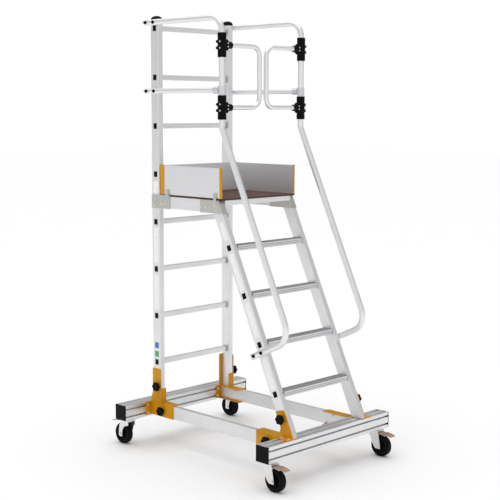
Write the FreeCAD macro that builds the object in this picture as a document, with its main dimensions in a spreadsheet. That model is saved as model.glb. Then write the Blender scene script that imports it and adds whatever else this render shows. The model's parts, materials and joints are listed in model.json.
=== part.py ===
import FreeCAD, Part
import os
import re
from math import cos, radians, sin, tan

from FreeCAD import Placement, Rotation, Vector

# Rolling warehouse ladder in millimetres. +X is to the right of a person climbing it, +Y is the
# direction they climb in, +Z is up. The origin is on the floor, under the middle of the base.

doc = FreeCAD.newDocument("rolling_ladder")
sheet = doc.addObject("Spreadsheet::Sheet", "Sizes")

SIZES = {
    # ladder stiles, shared by the upright rear frame and the leaning stair
    "ladder_half": 300, "stile_depth": 66, "stile_thick": 32, "tube_wall": 2.5,
    # rear frame
    "rear_stile_y": 488, "rear_stile_foot": 250, "rear_stile_top": 2500, "stile_cap_rise": 26,
    "first_rung": 495, "rung_pitch": 280, "rung_count": 8, "rung_depth": 25, "rung_height": 30,
    # stair
    "stair_lean": 25, "first_tread_y": -483, "first_tread": 470, "tread_pitch": 254,
    "tread_count": 4, "tread_depth": 70, "tread_height": 30, "groove_depth": 2.5, "groove_width": 4,
    "collar_margin": 4, "collar_thick": 3, "plug_thick": 2, "plug_rim": 1,
    # base
    "beam_size": 90, "beam_length": 1000, "beam_y": 585, "beam_bottom": 160, "beam_cap": 7,
    "slot_offset": 22.5, "slot_mouth": 10, "slot_lip": 5, "slot_width": 18, "slot_depth": 13,
    "beam_core": 44, "side_rail_thick": 30, "side_rail_height": 74, "bracket_low": 168, "plate": 4,
    "bracket_reach": 196, "flange_width": 54, "beam_flange": 46, "rear_tab_top": 455,
    "front_tab_top": 395, "front_flange_height": 85, "front_flange_width": 38,
    "inner_flange": 38, "inner_fold": 18,
    # platform
    "deck_front": -66, "deck_rear": 447, "deck_bottom": 1490, "deck_thick": 10,
    "deck_beam_height": 70, "deck_beam_thick": 30, "nosing_height": 28, "gusset_thick": 3,
    "toe_height": 169, "toe_thick": 6, "edge_thick": 10, "front_edge_width": 15, "front_edge_lip": 6,
    "rear_edge_width": 34, "corner_thick": 2, "clip_width": 24, "clip_thick": 2, "clip_drop": 16,
    "clip_rise": 40, "clip_front": -30, "clip_rear": 370, "gusset_front": 104, "gusset_rear": 360,
    # handrails
    "rail_radius": 17, "mid_rail_radius": 15, "rail_x": 318, "top_rail": 2487, "mid_rail": 2096,
    "crossing_inset": 26, "post_y": -92, "knee": 1889, "rail_rear_end": 553, "top_bend": 80,
    "knee_bend": 48, "low_bend": 95,
    "low_corner_drop": 1105, "low_leg": 306, "tee_radius": 22, "tee_height": 46, "tee_reach": 57,
    "tube_plug": 6, "button_radius": 10, "button_height": 8, "button_inset": 25, "button_grip": 8,
    # gate
    "gate_high": 2338, "gate_low": 2002, "gate_radius": 14, "gate_inner_x": 27, "gate_bend": 55,
    "barrel_radius": 24, "barrel_length": 34, "collar_height": 64, "hinge_gap": 0.3,
    "leaf_inset": 30, "socket_radius": 19, "socket_start": 22, "socket_end": 248,
    "ear_reach": 36, "ear_thick": 16, "ear_width": 30,
    # casters
    "caster_x": 445, "caster_plate_x": 100, "caster_plate_y": 86, "raceway_radius": 32,
    "raceway_height": 6.7, "kingpin_radius": 6, "kingpin_low": 135, "kingpin_nut": 9, "fork_top": 149,
    "fork_gap": 50, "fork_plate": 4, "fork_crown": 6, "trail": 42, "wheel_radius": 62.5,
    "wheel_width": 40, "rim_radius": 47, "axle_radius": 6, "axle_head": 9, "hub_width": 48,
    "pedal_pin_y": -30, "pedal_pin_z": 136, "pedal_pin_radius": 4, "pedal_knuckle": 6.5,
    "pedal_width": 32, "pad_width": 46, "pad_hole": 7, "caster_bolt_pitch": 80, "leg_front": 28,
    "leg_rear": 36, "axle_head_height": 5,
    # fasteners and clamp knobs
    "bolt_radius": 4, "bolt_head": 7, "bolt_head_height": 5, "wall_grip": 10, "slot_grip": 12,
    "fit": 0.05, "knob_rail_y": 435, "knob_rear_tab_z": 350, "knob_front_tab_z": 347,
    "knob_hub": 12, "knob_hub_height": 12, "knob_disc": 23, "knob_lobe": 8.5, "knob_height": 18,
    "knob_lobes": 6, "knob_stud": 12,
}

for row, (alias, value) in enumerate(SIZES.items(), start=1):
    sheet.set(f"A{row}", alias)
    sheet.set(f"B{row}", str(value))
    sheet.setAlias(f"B{row}", alias)
doc.recompute()


def dim(alias):
    """The number that the sheet holds under an alias."""
    return float(sheet.get(alias))


def formula(text):
    """An expression with every alias in it pointed at the sheet."""
    def point_at_sheet(word):
        return f"Sizes.{word[0]}" if word[0] in SIZES else word[0]

    return re.sub(r"[a-z]\w+", point_at_sheet, str(text))


def bind(feature, **expressions):
    for name, text in expressions.items():
        feature.setExpression(name, formula(text))


def move_to(feature, at, rotation=None):
    """Places a feature, with its position bound to the sheet."""
    if rotation is not None:
        feature.Placement = Placement(Vector(), rotation)
    for axis, text in zip("xyz", at):
        feature.setExpression(f".Placement.Base.{axis}", formula(text))


TO_X = Rotation(Vector(0, 1, 0), 90)
TO_MINUS_X = Rotation(Vector(0, 1, 0), -90)
TO_Y = Rotation(Vector(1, 0, 0), -90)
TO_MINUS_Y = Rotation(Vector(1, 0, 0), 90)
TO_DOWN = Rotation(Vector(1, 0, 0), 180)
UPRIGHT = Rotation()
ACROSS = Vector(1, 0, 0)


def box(label, size, at, rotation=None):
    part = doc.addObject("Part::Box", label)
    bind(part, Length=size[0], Width=size[1], Height=size[2])
    move_to(part, at, rotation)
    return part


def cylinder(label, radius, height, at, rotation=None):
    part = doc.addObject("Part::Cylinder", label)
    bind(part, Radius=radius, Height=height)
    move_to(part, at, rotation)
    return part


def hexagon(label, radius, height, at, rotation=None):
    part = doc.addObject("Part::Prism", label)
    part.Polygon = 6
    bind(part, Circumradius=radius, Height=height)
    move_to(part, at, rotation)
    return part


def fuse(label, *parts):
    part = doc.addObject("Part::MultiFuse", label)
    part.Shapes = list(parts)
    part.Refine = True
    return part


def group(label, *parts):
    """Separate solids that share one node."""
    part = doc.addObject("Part::Compound", label)
    part.Links = list(parts)
    return part


def cut(label, base, *tools):
    part = doc.addObject("Part::Cut", label)
    part.Base = base
    part.Tool = tools[0] if len(tools) == 1 else group(f"{label}_tools", *tools)
    return part


def mirrored(label, source):
    """The same piece on the other side of the ladder."""
    part = doc.addObject("Part::Mirroring", label)
    part.Source = source
    part.Normal = ACROSS
    return part


def both_sides(label, *left_pieces):
    """Pieces of the left side and their mirror images, as separate solids of one node."""
    left = group(f"left_{label}", *left_pieces)
    return group(label, left, mirrored(f"right_{label}", left))


def outline_body(label, role, outlines, length, symmetric=False):
    """A body padded from closed outlines on one of its own origin planes."""
    body = doc.addObject("PartDesign::Body", label)
    sketch = sketch_on(body, f"{label}_outline", role, outlines)
    pad = body.newObject("PartDesign::Pad", f"{label}_pad")
    pad.Profile = sketch
    pad.Midplane = symmetric
    bind(pad, Length=length)
    return body


def sketch_on(body, label, role, outlines):
    plane = next(item for item in body.Origin.OriginFeatures if item.Role == role)
    sketch = body.newObject("Sketcher::SketchObject", label)
    sketch.AttachmentSupport = [(plane, "")]
    sketch.MapMode = "FlatFace"
    for outline in outlines:
        corners = [Vector(x, y, 0) for x, y in outline]
        for start, end in zip(corners, corners[1:] + corners[:1]):
            sketch.addGeometry(Part.LineSegment(start, end), False)
    return sketch


def rectangle(x0, y0, x1, y1):
    return [(x0, y0), (x1, y0), (x1, y1), (x0, y1)]


def rounded_path(label, corners, radii):
    """Straight runs joined by tangent arcs, one radius for each inner corner."""
    edges = []
    start = corners[0]
    for before, corner, after, radius in zip(corners, corners[1:], corners[2:], radii):
        inward = (before - corner).normalize()
        outward = (after - corner).normalize()
        half_angle = inward.getAngle(outward) / 2
        setback = radius / tan(half_angle)
        bisector = (inward + outward).normalize()
        centre = corner + bisector * (radius / sin(half_angle))
        arc_start = corner + inward * setback
        arc_end = corner + outward * setback
        edges.append(Part.LineSegment(start, arc_start).toShape())
        edges.append(Part.Arc(arc_start, centre - bisector * radius, arc_end).toShape())
        start = arc_end
    edges.append(Part.LineSegment(start, corners[-1]).toShape())
    path = doc.addObject("Part::Feature", label)
    path.Shape = Part.Wire(edges)
    return path


def swept_rod(label, path, radius, start, heading):
    circle = doc.addObject("Part::Circle", f"{label}_section")
    bind(circle, Radius=radius)
    circle.Placement = Placement(start, Rotation(Vector(0, 0, 1), heading))
    sweep = doc.addObject("Part::Sweep", label)
    sweep.Sections = [circle]
    sweep.Spine = (path, [f"Edge{number + 1}" for number in range(len(path.Shape.Edges))])
    sweep.Solid = True
    return sweep


def bent_tube(label, corners, radii, radius):
    """A round tube with a hollow bore along a path with rounded corners."""
    path = rounded_path(f"{label}_path", corners, radii)
    heading = corners[1] - corners[0]
    outside = swept_rod(f"{label}_outside", path, radius, corners[0], heading)
    bore = swept_rod(f"{label}_bore", path, f"{radius} - tube_wall", corners[0], heading)
    return cut(label, outside, bore)


half = dim("ladder_half")
stile_thick = dim("stile_thick")
inner_half = half - stile_thick
plate = dim("plate")
lean = dim("stair_lean")
slope = tan(radians(lean))
beam_half = dim("beam_size") / 2
beam_bottom = dim("beam_bottom")
beam_top = beam_bottom + dim("beam_size")
beam_inner_y = dim("beam_y") - beam_half
LEANING = Rotation(Vector(1, 0, 0), -lean)


def stair_y(height):
    """Where the stair stiles' centre line is at a height."""
    return dim("first_tread_y") + (height - dim("first_tread")) * slope


# ---------------------------------------------------------------- fasteners

def bolt(label, at, rotation, grip):
    """A hexagon-head bolt: the head stands along the rotation's Z axis, the shank goes back."""
    head = hexagon(f"{label}_head", "bolt_head", "bolt_head_height", (0, 0, 0))
    shank = cylinder(f"{label}_shank", "bolt_radius", grip, (0, 0, f"-({grip})"))
    part = fuse(label, head, shank)
    part.Placement = Placement(Vector(*at), rotation)
    return part


def button(label, at, rotation, grip):
    """A black button-headed fastener, on the same axes as a bolt."""
    head = doc.addObject("Part::Cone", f"{label}_head")
    bind(head, Radius1="button_radius", Radius2="button_radius - 3", Height="button_height")
    shank = cylinder(f"{label}_shank", "bolt_radius", grip, (0, 0, f"-({grip})"))
    part = fuse(label, head, shank)
    part.Placement = Placement(Vector(*at), rotation)
    return part


def bolt_hole(label, at, rotation, grip):
    """The hole that a fastener's shank fills."""
    start = Vector(*at) + rotation.multVec(Vector(0, 0, -grip))
    return cylinder(label, "bolt_radius", grip, tuple(start), rotation)


rear_y = dim("rear_stile_y")
stile_half = dim("stile_depth") / 2
gusset_face = -half - dim("gusset_thick")
rail_x = dim("rail_x")
tube_face = -rail_x - dim("rail_radius")
mid_face = -rail_x - dim("mid_rail_radius")
deck_bottom = dim("deck_bottom")
deck_top = deck_bottom + dim("deck_thick")
slot = dim("slot_offset")

# The handrail's lower leg is square to the stair and crosses the stile's centre line here.
low_leg_z = dim("knee") - dim("low_corner_drop")
low_leg_y = dim("post_y") - dim("low_corner_drop") * slope
crossing = (stair_y(low_leg_z) - low_leg_y) * cos(radians(lean))
low_corner = Vector(-rail_x, low_leg_y, low_leg_z)
low_direction = Vector(0, cos(radians(lean)), -sin(radians(lean)))
low_end = low_corner + low_direction * dim("low_leg")

wall_grip = dim("wall_grip")
slot_grip = dim("slot_grip")
tube_grip = -half + wall_grip - 3 - tube_face
mid_grip = -half + wall_grip - 3 - mid_face


def gusset_bolts():
    """Two bolts into each stile and two into each side beam, as (face x, y, z, grip)."""
    high, middle, low = deck_bottom - 14, deck_bottom - 40, deck_bottom - 56
    gusset_front, gusset_rear = dim("gusset_front"), dim("gusset_rear")
    places = [(rear_y, high), (rear_y, low), (gusset_rear + 72, middle), (gusset_rear + 37, middle),
              (gusset_front - 16, middle), (gusset_front - 48, middle),
              (stair_y(high - 10), high - 10), (stair_y(low), low)]
    return [(gusset_face, y, z, wall_grip) for y, z in places]


# Each rail has one button that goes on into the stile, near its front face, and one at the tube's end.
crossing_inset, button_grip = dim("crossing_inset"), dim("button_grip")
low_crossing = low_corner + low_direction * (crossing - crossing_inset)
low_button = low_end - low_direction * dim("button_inset")
rear_button_y = dim("rail_rear_end") - dim("button_inset")
side_buttons = [
    (tube_face, rear_y - crossing_inset, dim("top_rail"), tube_grip),
    (mid_face, rear_y - crossing_inset, dim("mid_rail"), mid_grip),
    (tube_face, low_crossing.y, low_crossing.z, tube_grip),
    (tube_face, rear_button_y, dim("top_rail"), button_grip),
    (mid_face, rear_button_y, dim("mid_rail"), button_grip),
    (tube_face, low_button.y, low_button.z, button_grip),
]

left_bolts = []
left_holes = []
for number, (x, y, z, grip) in enumerate(gusset_bolts()):
    left_bolts.append(bolt(f"side_bolt_{number}", (x, y, z), TO_MINUS_X, grip))
    left_holes.append(bolt_hole(f"side_bolt_hole_{number}", (x, y, z), TO_MINUS_X, grip))
left_plugs = []
for number, (x, y, z, grip) in enumerate(side_buttons):
    left_plugs.append(button(f"rail_button_{number}", (x, y, z), TO_MINUS_X, grip))
    left_holes.append(bolt_hole(f"rail_button_hole_{number}", (x, y, z), TO_MINUS_X, grip))
left_hole_set = group("left_bolt_holes", *left_holes)

flange_bolt_x = -half - plate - dim("beam_flange") / 2
rail_inner_x = -half + dim("side_rail_thick")
inner_bolt_x = rail_inner_x + dim("inner_flange") / 2
half_pitch = dim("caster_bolt_pitch") / 2
for side in (-1, 1):
    top_bolt = (flange_bolt_x, -dim("beam_y") + side * slot, beam_top + plate)
    face_bolt = (flange_bolt_x, beam_inner_y - plate, beam_bottom + beam_half + side * slot)
    inner_bolt = (inner_bolt_x, beam_inner_y - plate, beam_bottom + beam_half + side * slot)
    left_bolts.append(bolt(f"front_beam_bolt_{side + 1}", top_bolt, UPRIGHT, slot_grip))
    left_bolts.append(bolt(f"rear_beam_bolt_{side + 1}", face_bolt, TO_MINUS_Y, slot_grip))
    left_bolts.append(bolt(f"rear_inner_bolt_{side + 1}", inner_bolt, TO_MINUS_Y, slot_grip))
for end in (-1, 1):
    for along in (-1, 1):
        for across in (-1, 1):
            at = (-dim("caster_x") + along * half_pitch, end * dim("beam_y") + across * slot,
                  beam_bottom - plate)
            name = f"caster_bolt_{end + 1}_{along + 1}_{across + 1}"
            left_bolts.append(bolt(name, at, TO_DOWN, slot_grip))
frame_bolts = both_sides("frame_bolts", *left_bolts)

# ---------------------------------------------------------------- clamp knobs

side_rail_z = beam_bottom + beam_half
knob_face = -half - plate
left_knob_places = {
    "rear_left_stile_knob": (knob_face, rear_y - 16, dim("knob_rear_tab_z")),
    "rear_left_rail_knob": (knob_face, dim("knob_rail_y"), side_rail_z),
    "front_left_stile_knob": (knob_face, stair_y(dim("knob_front_tab_z")), dim("knob_front_tab_z")),
    "front_left_rail_knob": (knob_face, -dim("knob_rail_y"), side_rail_z),
}


def clamp_knob(label, at, rotation):
    """A six-lobed grip moulded on a threaded stud, with the stud pointing into the frame."""
    pieces = [
        cylinder(f"{label}_hub", "knob_hub", "knob_hub_height - hinge_gap", (0, 0, "hinge_gap")),
        cylinder(f"{label}_disc", "knob_disc", "knob_height", (0, 0, "knob_hub_height")),
        cylinder(f"{label}_stud", "bolt_radius", "knob_stud + hinge_gap", (0, 0, "-knob_stud")),
    ]
    lobe_reach = dim("knob_disc") - 3
    for lobe in range(int(dim("knob_lobes"))):
        angle = radians(lobe * 360 / dim("knob_lobes"))
        centre = (lobe_reach * cos(angle), lobe_reach * sin(angle), "knob_hub_height")
        pieces.append(cylinder(f"{label}_lobe_{lobe}", "knob_lobe", "knob_height", centre))
    knob = fuse(label, *pieces)
    knob.Placement = Placement(Vector(*at), rotation)
    return knob


knobs = {}
left_bores = []
for name, (x, y, z) in left_knob_places.items():
    knobs[name] = clamp_knob(name, (x, y, z), TO_MINUS_X)
    other = name.replace("left", "right")
    knobs[other] = clamp_knob(other, (-x, y, z), TO_X)
    left_bores.append(cylinder(f"{name}_bore", "bolt_radius + fit", "knob_stud + 4",
                               (x + dim("knob_stud") + 1, y, z), TO_MINUS_X))
left_bore_set = group("left_knob_bores", *left_bores)

# ---------------------------------------------------------------- stiles, rungs and treads


def heights(first, pitch, count):
    return [dim(first) + number * dim(pitch) for number in range(int(dim(count)))]


rung_heights = heights("first_rung", "rung_pitch", "rung_count")
tread_heights = heights("first_tread", "tread_pitch", "tread_count")

stile_outside = box("rear_stile_outside", ("stile_thick", "stile_depth", "rear_stile_top - rear_stile_foot"),
                    ("-ladder_half", "rear_stile_y - stile_depth / 2", "rear_stile_foot"))
stile_inside = box("rear_stile_inside",
                   ("stile_thick - 2 * tube_wall", "stile_depth - 2 * tube_wall",
                    "rear_stile_top - rear_stile_foot + 2"),
                   ("-ladder_half + tube_wall", "rear_stile_y - stile_depth / 2 + tube_wall",
                    "rear_stile_foot - 1"))
rung_slots = [box(f"rung_slot_{number}", ("stile_thick + 2", "rung_depth", "rung_height"),
                  ("-ladder_half - 1", "rear_stile_y - rung_depth / 2", f"{height} - rung_height / 2"))
              for number, height in enumerate(rung_heights)]
rear_stile_openings = fuse("rear_stile_openings", stile_inside, left_hole_set, left_bore_set, *rung_slots)
left_rear_stile = cut("left_rear_stile", stile_outside, rear_stile_openings)
right_rear_stile = mirrored("right_rear_stile", left_rear_stile)


def rear_rung(number, height):
    """A rectangular tube through both stiles, with a collar against each stile's inner face."""
    bar = box(f"rung_bar_{number}", ("2 * ladder_half", "rung_depth", "rung_height"),
              ("-ladder_half", "rear_stile_y - rung_depth / 2", f"{height} - rung_height / 2"))
    collars = [box(f"rung_collar_{number}_{side}",
                   ("collar_thick", "rung_depth + 2 * collar_margin", "rung_height + 2 * collar_margin"),
                   (start, "rear_stile_y - rung_depth / 2 - collar_margin",
                    f"{height} - rung_height / 2 - collar_margin"))
               for side, start in (("left", "-ladder_half + stile_thick"),
                                   ("right", "ladder_half - stile_thick - collar_thick"))]
    bore = box(f"rung_bore_{number}",
               ("2 * ladder_half + 2", "rung_depth - 2 * tube_wall", "rung_height - 2 * tube_wall"),
               ("-ladder_half - 1", "rear_stile_y - rung_depth / 2 + tube_wall",
                f"{height} - rung_height / 2 + tube_wall"))
    return cut(f"rung_{number}", fuse(f"rung_outside_{number}", bar, *collars), bore)


rungs = [rear_rung(number, height) for number, height in enumerate(rung_heights)]
rear_rungs = group("rear_rungs", *rungs)

# A stair stile is a straight bar along the slope, trimmed level on the beam and under the deck.
wall = dim("tube_wall")
stair_foot = beam_top + plate
stair_band = stile_half / cos(radians(lean))
wall_band = wall / cos(radians(lean))


def stair_outline(low, high, reach):
    """A bar along the stair's slope between two heights, reaching this far each way along Y."""
    return [(stair_y(low) - reach, low), (stair_y(low) + reach, low),
            (stair_y(high) + reach, high), (stair_y(high) - reach, high)]


def plate_body(label, outline, thickness, start_x):
    """A flat plate square to X, from start_x towards +X."""
    body = outline_body(label, "YZ_Plane", [outline], thickness)
    body.Placement = Placement(Vector(start_x, 0, 0), UPRIGHT)
    return body


def leaning_box(label, size_y, size_z, height, start_x, length):
    """A bar along X whose section is turned to the stair's slope about its own centre."""
    corner = LEANING.multVec(Vector(0, -size_y / 2, -size_z / 2))
    part = doc.addObject("Part::Box", label)
    part.Length = length
    part.Width = size_y
    part.Height = size_z
    part.Placement = Placement(Vector(start_x, stair_y(height), height) + corner, LEANING)
    return part


stair_outside = plate_body("stair_stile_outside", stair_outline(stair_foot, deck_bottom, stair_band),
                           "stile_thick", -half)
stair_inside = plate_body("stair_stile_inside",
                          stair_outline(stair_foot - 1, deck_bottom + 1, stair_band - wall_band),
                          "stile_thick - 2 * tube_wall", -half + wall)
tread_slots = [leaning_box(f"tread_slot_{number}", dim("rung_depth"), dim("rung_height"), height,
                           -half - 1, stile_thick + 2)
               for number, height in enumerate(tread_heights)]
stair_stile_openings = fuse("stair_stile_openings", stair_inside, left_hole_set, left_bore_set,
                            *tread_slots)
left_front_stile = cut("left_front_stile", stair_outside, stair_stile_openings)
right_front_stile = mirrored("right_front_stile", left_front_stile)

tread_half = dim("tread_depth") / 2
tread_rise = dim("tread_height") / 2
groove_depth = dim("groove_depth")
groove_half = dim("groove_width") / 2


def tread_outline():
    """Section of a tread with two grooves along its front face and a hollow inside."""
    face = -tread_half
    groove = face + groove_depth
    outer = [(face, -tread_rise)]
    for middle in (-tread_rise / 3, tread_rise / 3):
        low, high = middle - groove_half, middle + groove_half
        outer += [(face, low), (groove, low), (groove, high), (face, high)]
    outer += [(face, tread_rise), (tread_half, tread_rise), (tread_half, -tread_rise)]
    hollow = rectangle(groove + wall, -tread_rise + wall, tread_half - wall, tread_rise - wall)
    return [outer, hollow]


def stair_tread(number, height):
    step = outline_body(f"tread_step_{number}", "YZ_Plane", tread_outline(),
                        "2 * (ladder_half - stile_thick)", symmetric=True)
    step.Placement = Placement(Vector(0, stair_y(height), height), UPRIGHT)
    tenons = [leaning_box(f"tread_tenon_{number}_{side}", dim("rung_depth"), dim("rung_height"), height,
                          start, stile_thick)
              for side, start in (("left", -half), ("right", inner_half))]
    return fuse(f"tread_{number}", step, *tenons)


treads = [stair_tread(number, height) for number, height in enumerate(tread_heights)]
stair_treads = group("stair_treads", *treads)

# ---------------------------------------------------------------- plugs and caps

plug_thick, plug_rim = dim("plug_thick"), dim("plug_rim")
for number, height in enumerate(rung_heights):
    left_plugs.append(box(f"rung_plug_{number}",
                          ("plug_thick", "rung_depth + 2 * plug_rim", "rung_height + 2 * plug_rim"),
                          ("-ladder_half - plug_thick", "rear_stile_y - rung_depth / 2 - plug_rim",
                           f"{height} - rung_height / 2 - plug_rim")))
for number, height in enumerate(tread_heights):
    left_plugs.append(leaning_box(f"tread_plug_{number}", dim("rung_depth") + 2 * plug_rim,
                                  dim("rung_height") + 2 * plug_rim, height, -half - plug_thick, plug_thick))

cap_block = box("stile_cap_block",
                ("stile_thick + 2 * plug_rim", "stile_depth + 2 * plug_rim", "stile_cap_rise"),
                ("-ladder_half - plug_rim", "rear_stile_y - stile_depth / 2 - plug_rim", "rear_stile_top"))
doc.recompute()
cap_round = 15.0
cap_top = dim("rear_stile_top") + dim("stile_cap_rise")
stile_cap = doc.addObject("Part::Fillet", "stile_cap")
stile_cap.Base = cap_block
stile_cap.Edges = [(number + 1, cap_round, cap_round) for number, edge in enumerate(cap_block.Shape.Edges)
                   if edge.BoundBox.ZMin > cap_top - 1]
left_plugs.append(stile_cap)

left_plugs += [
    cylinder("top_rail_plug", "rail_radius - tube_wall", "tube_plug",
             ("-rail_x", "rail_rear_end - tube_plug", "top_rail"), TO_Y),
    cylinder("mid_rail_plug", "mid_rail_radius - tube_wall", "tube_plug",
             ("-rail_x", "rail_rear_end - tube_plug", "mid_rail"), TO_Y),
    cylinder("low_rail_plug", "rail_radius - tube_wall", "tube_plug",
             tuple(low_end - low_direction * dim("tube_plug")), Rotation(Vector(0, 0, 1), low_direction)),
]
end_plugs = both_sides("end_plugs", *left_plugs)

# ---------------------------------------------------------------- base beams and side rails

def slot_outline(centre):
    """T-shaped slot in the beam's top face, in the plane of its section."""
    mouth, width = dim("slot_mouth") / 2, dim("slot_width") / 2
    lip, floor = beam_half - dim("slot_lip"), beam_half - dim("slot_depth")
    left = [(-mouth, beam_half + 1), (-mouth, lip), (-width, lip), (-width, floor)]
    right = [(-across, up) for across, up in reversed(left)]
    return [(centre + across, up) for across, up in left + right]


def slotted_beam(label, y):
    """A square extrusion with two T slots along each of its four faces and a hollow core."""
    core = dim("beam_core") / 2
    outlines = [rectangle(-beam_half, -beam_half, beam_half, beam_half), rectangle(-core, -core, core, core)]
    body = outline_body(label, "YZ_Plane", outlines, "beam_length", symmetric=True)
    doc.recompute()
    solid_volume = body.Shape.Volume
    pocket = body.newObject("PartDesign::Pocket", f"{label}_slots")
    slots = [slot_outline(-slot), slot_outline(slot)]
    pocket.Profile = sketch_on(body, f"{label}_slot_outline", "YZ_Plane", slots)
    pocket.Midplane = True
    bind(pocket, Length="beam_length + 2")
    pattern = body.newObject("PartDesign::PolarPattern", f"{label}_slot_faces")
    pattern.Originals = [pocket]
    axis = next(item for item in body.Origin.OriginFeatures if item.Role == "X_Axis")
    pattern.Axis = (axis, [""])
    pattern.Angle = 360
    pattern.Occurrences = 4
    body.Tip = pattern
    body.Placement = Placement(Vector(0, y, beam_bottom + beam_half), UPRIGHT)
    doc.recompute()
    assert body.Shape.Volume < 0.9 * solid_volume, "the slots did not cut the beam"
    return body


front_cross_beam = slotted_beam("front_cross_beam", -dim("beam_y"))
rear_cross_beam = slotted_beam("rear_cross_beam", dim("beam_y"))

caps = [box(f"beam_cap_{number}", ("beam_cap", "beam_size", "beam_size"),
            ("-beam_length / 2 - beam_cap", f"{sign} * beam_y - beam_size / 2", "beam_bottom"))
        for number, sign in enumerate((-1, 1))]
beam_end_caps = both_sides("beam_end_caps", *caps)

rail_length = "2 * (beam_y - beam_size / 2)"
side_rail_outside = box("side_rail_outside", ("side_rail_thick", rail_length, "side_rail_height"),
                        ("-ladder_half", "-beam_y + beam_size / 2", "bracket_low + plate"))
side_rail_inside = box("side_rail_inside",
                       ("side_rail_thick - 2 * tube_wall", f"{rail_length} + 2",
                        "side_rail_height - 2 * tube_wall"),
                       ("-ladder_half + tube_wall", "-beam_y + beam_size / 2 - 1",
                        "bracket_low + plate + tube_wall"))
left_side_rail = cut("left_side_rail", side_rail_outside,
                     fuse("side_rail_openings", side_rail_inside, left_bore_set))
right_side_rail = mirrored("right_side_rail", left_side_rail)

# ---------------------------------------------------------------- corner brackets

bracket_low = dim("bracket_low")
reach = dim("bracket_reach")


def flange_holes(end, start, rotation):
    """Two holes in a beam flange, on the beam's slots."""
    holes = []
    for side in (-1, 1):
        at = Vector(*start) + rotation.multVec(Vector(0, -side * slot if end == "rear" else side * slot, 0))
        name = f"{end}_flange_hole_{side + 1}"
        holes.append(cylinder(name, "bolt_radius", "plate + 2", tuple(at), rotation))
    return holes


def channel_flanges(end, start_y):
    """The two flanges that lie on and under the side rail."""
    size = ("flange_width", "bracket_reach", "plate")
    return [box(f"{end}_bracket_top", size, ("-ladder_half", start_y, "beam_bottom + beam_size - plate")),
            box(f"{end}_bracket_bottom", size, ("-ladder_half", start_y, "bracket_low"))]


def rear_bracket():
    """Channel on the side rail, tall tab round the stile, and a flange on the beam on each side."""
    stile_front = rear_y - stile_half
    stile_back = rear_y + stile_half + plate
    tab_top = dim("rear_tab_top")
    outline = [(beam_inner_y - reach, bracket_low), (beam_inner_y, bracket_low),
               (beam_inner_y, beam_top + 20), (stile_back, beam_top + 60),
               (stile_back, tab_top), (stile_front, tab_top),
               (stile_front - plate, tab_top - 12), (stile_front - plate, beam_top),
               (beam_inner_y - reach, beam_top)]
    pieces = [
        plate_body("rear_bracket_web", outline, "plate", -half - plate),
        *channel_flanges("rear", "beam_y - beam_size / 2 - bracket_reach"),
        box("rear_bracket_back", ("flange_width", "plate", "rear_tab_top - beam_bottom - beam_size"),
            ("-ladder_half", "rear_stile_y + stile_depth / 2", "beam_bottom + beam_size")),
        box("rear_bracket_front", ("front_flange_width", "plate", "front_flange_height"),
            ("-ladder_half", "rear_stile_y - stile_depth / 2 - plate", "beam_bottom + beam_size")),
        box("rear_bracket_beam_flange", ("beam_flange", "plate", "beam_bottom + beam_size - bracket_low"),
            ("-ladder_half - plate - beam_flange", "beam_y - beam_size / 2 - plate", "bracket_low")),
        box("rear_bracket_inner_flange", ("inner_flange", "plate", "beam_bottom + beam_size - bracket_low"),
            (rail_inner_x, "beam_y - beam_size / 2 - plate", "bracket_low")),
        box("rear_bracket_fold", ("plate", "inner_fold", "beam_bottom + beam_size - bracket_low"),
            (rail_inner_x, "beam_y - beam_size / 2 - inner_fold", "bracket_low")),
    ]
    hole_y, hole_z = beam_inner_y - plate - 1, beam_bottom + beam_half
    holes = [*flange_holes("rear", (flange_bolt_x, hole_y, hole_z), TO_Y),
             *flange_holes("inner", (inner_bolt_x, hole_y, hole_z), TO_Y)]
    return cut("rear_left_bracket", fuse("rear_bracket_plates", *pieces),
               group("rear_bracket_holes", left_bore_set, *holes))


def front_bracket():
    """Channel on the side rail, tab up the stair stile, and a flange on top of the beam."""
    tab_top = dim("front_tab_top")

    def back_edge(height):
        return stair_y(height) + stair_band

    def front_edge(height):
        return stair_y(height) - stair_band

    outline = [(-beam_inner_y + reach, bracket_low), (-beam_inner_y + reach, beam_top),
               (-beam_inner_y + 24, beam_top), (back_edge(beam_top + 45), beam_top + 45),
               (back_edge(tab_top - 14), tab_top - 14), (front_edge(tab_top) + 14, tab_top),
               (front_edge(tab_top - 5), tab_top - 5), (front_edge(beam_top), beam_top),
               (-beam_inner_y, beam_top), (-beam_inner_y, bracket_low)]
    pieces = [
        plate_body("front_bracket_web", outline, "plate", -half - plate),
        *channel_flanges("front", "-beam_y + beam_size / 2"),
        box("front_bracket_beam_flange",
            ("beam_flange + plate + stile_thick", "beam_bottom + beam_size - bracket_low", "plate"),
            ("-ladder_half - plate - beam_flange", "-beam_y - beam_size / 2 + plate",
             "beam_bottom + beam_size")),
    ]
    holes = flange_holes("front", (flange_bolt_x, -dim("beam_y"), beam_top - 1), UPRIGHT)
    return cut("front_left_bracket", fuse("front_bracket_plates", *pieces),
               group("front_bracket_holes", left_bore_set, *holes))


rear_left_bracket = rear_bracket()
rear_right_bracket = mirrored("rear_right_bracket", rear_left_bracket)
front_left_bracket = front_bracket()
front_right_bracket = mirrored("front_right_bracket", front_left_bracket)

# ---------------------------------------------------------------- platform

deck_panel = box("deck_panel", ("2 * ladder_half", "deck_rear - deck_front", "deck_thick"),
                 ("-ladder_half", "deck_front", "deck_bottom"))

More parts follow.
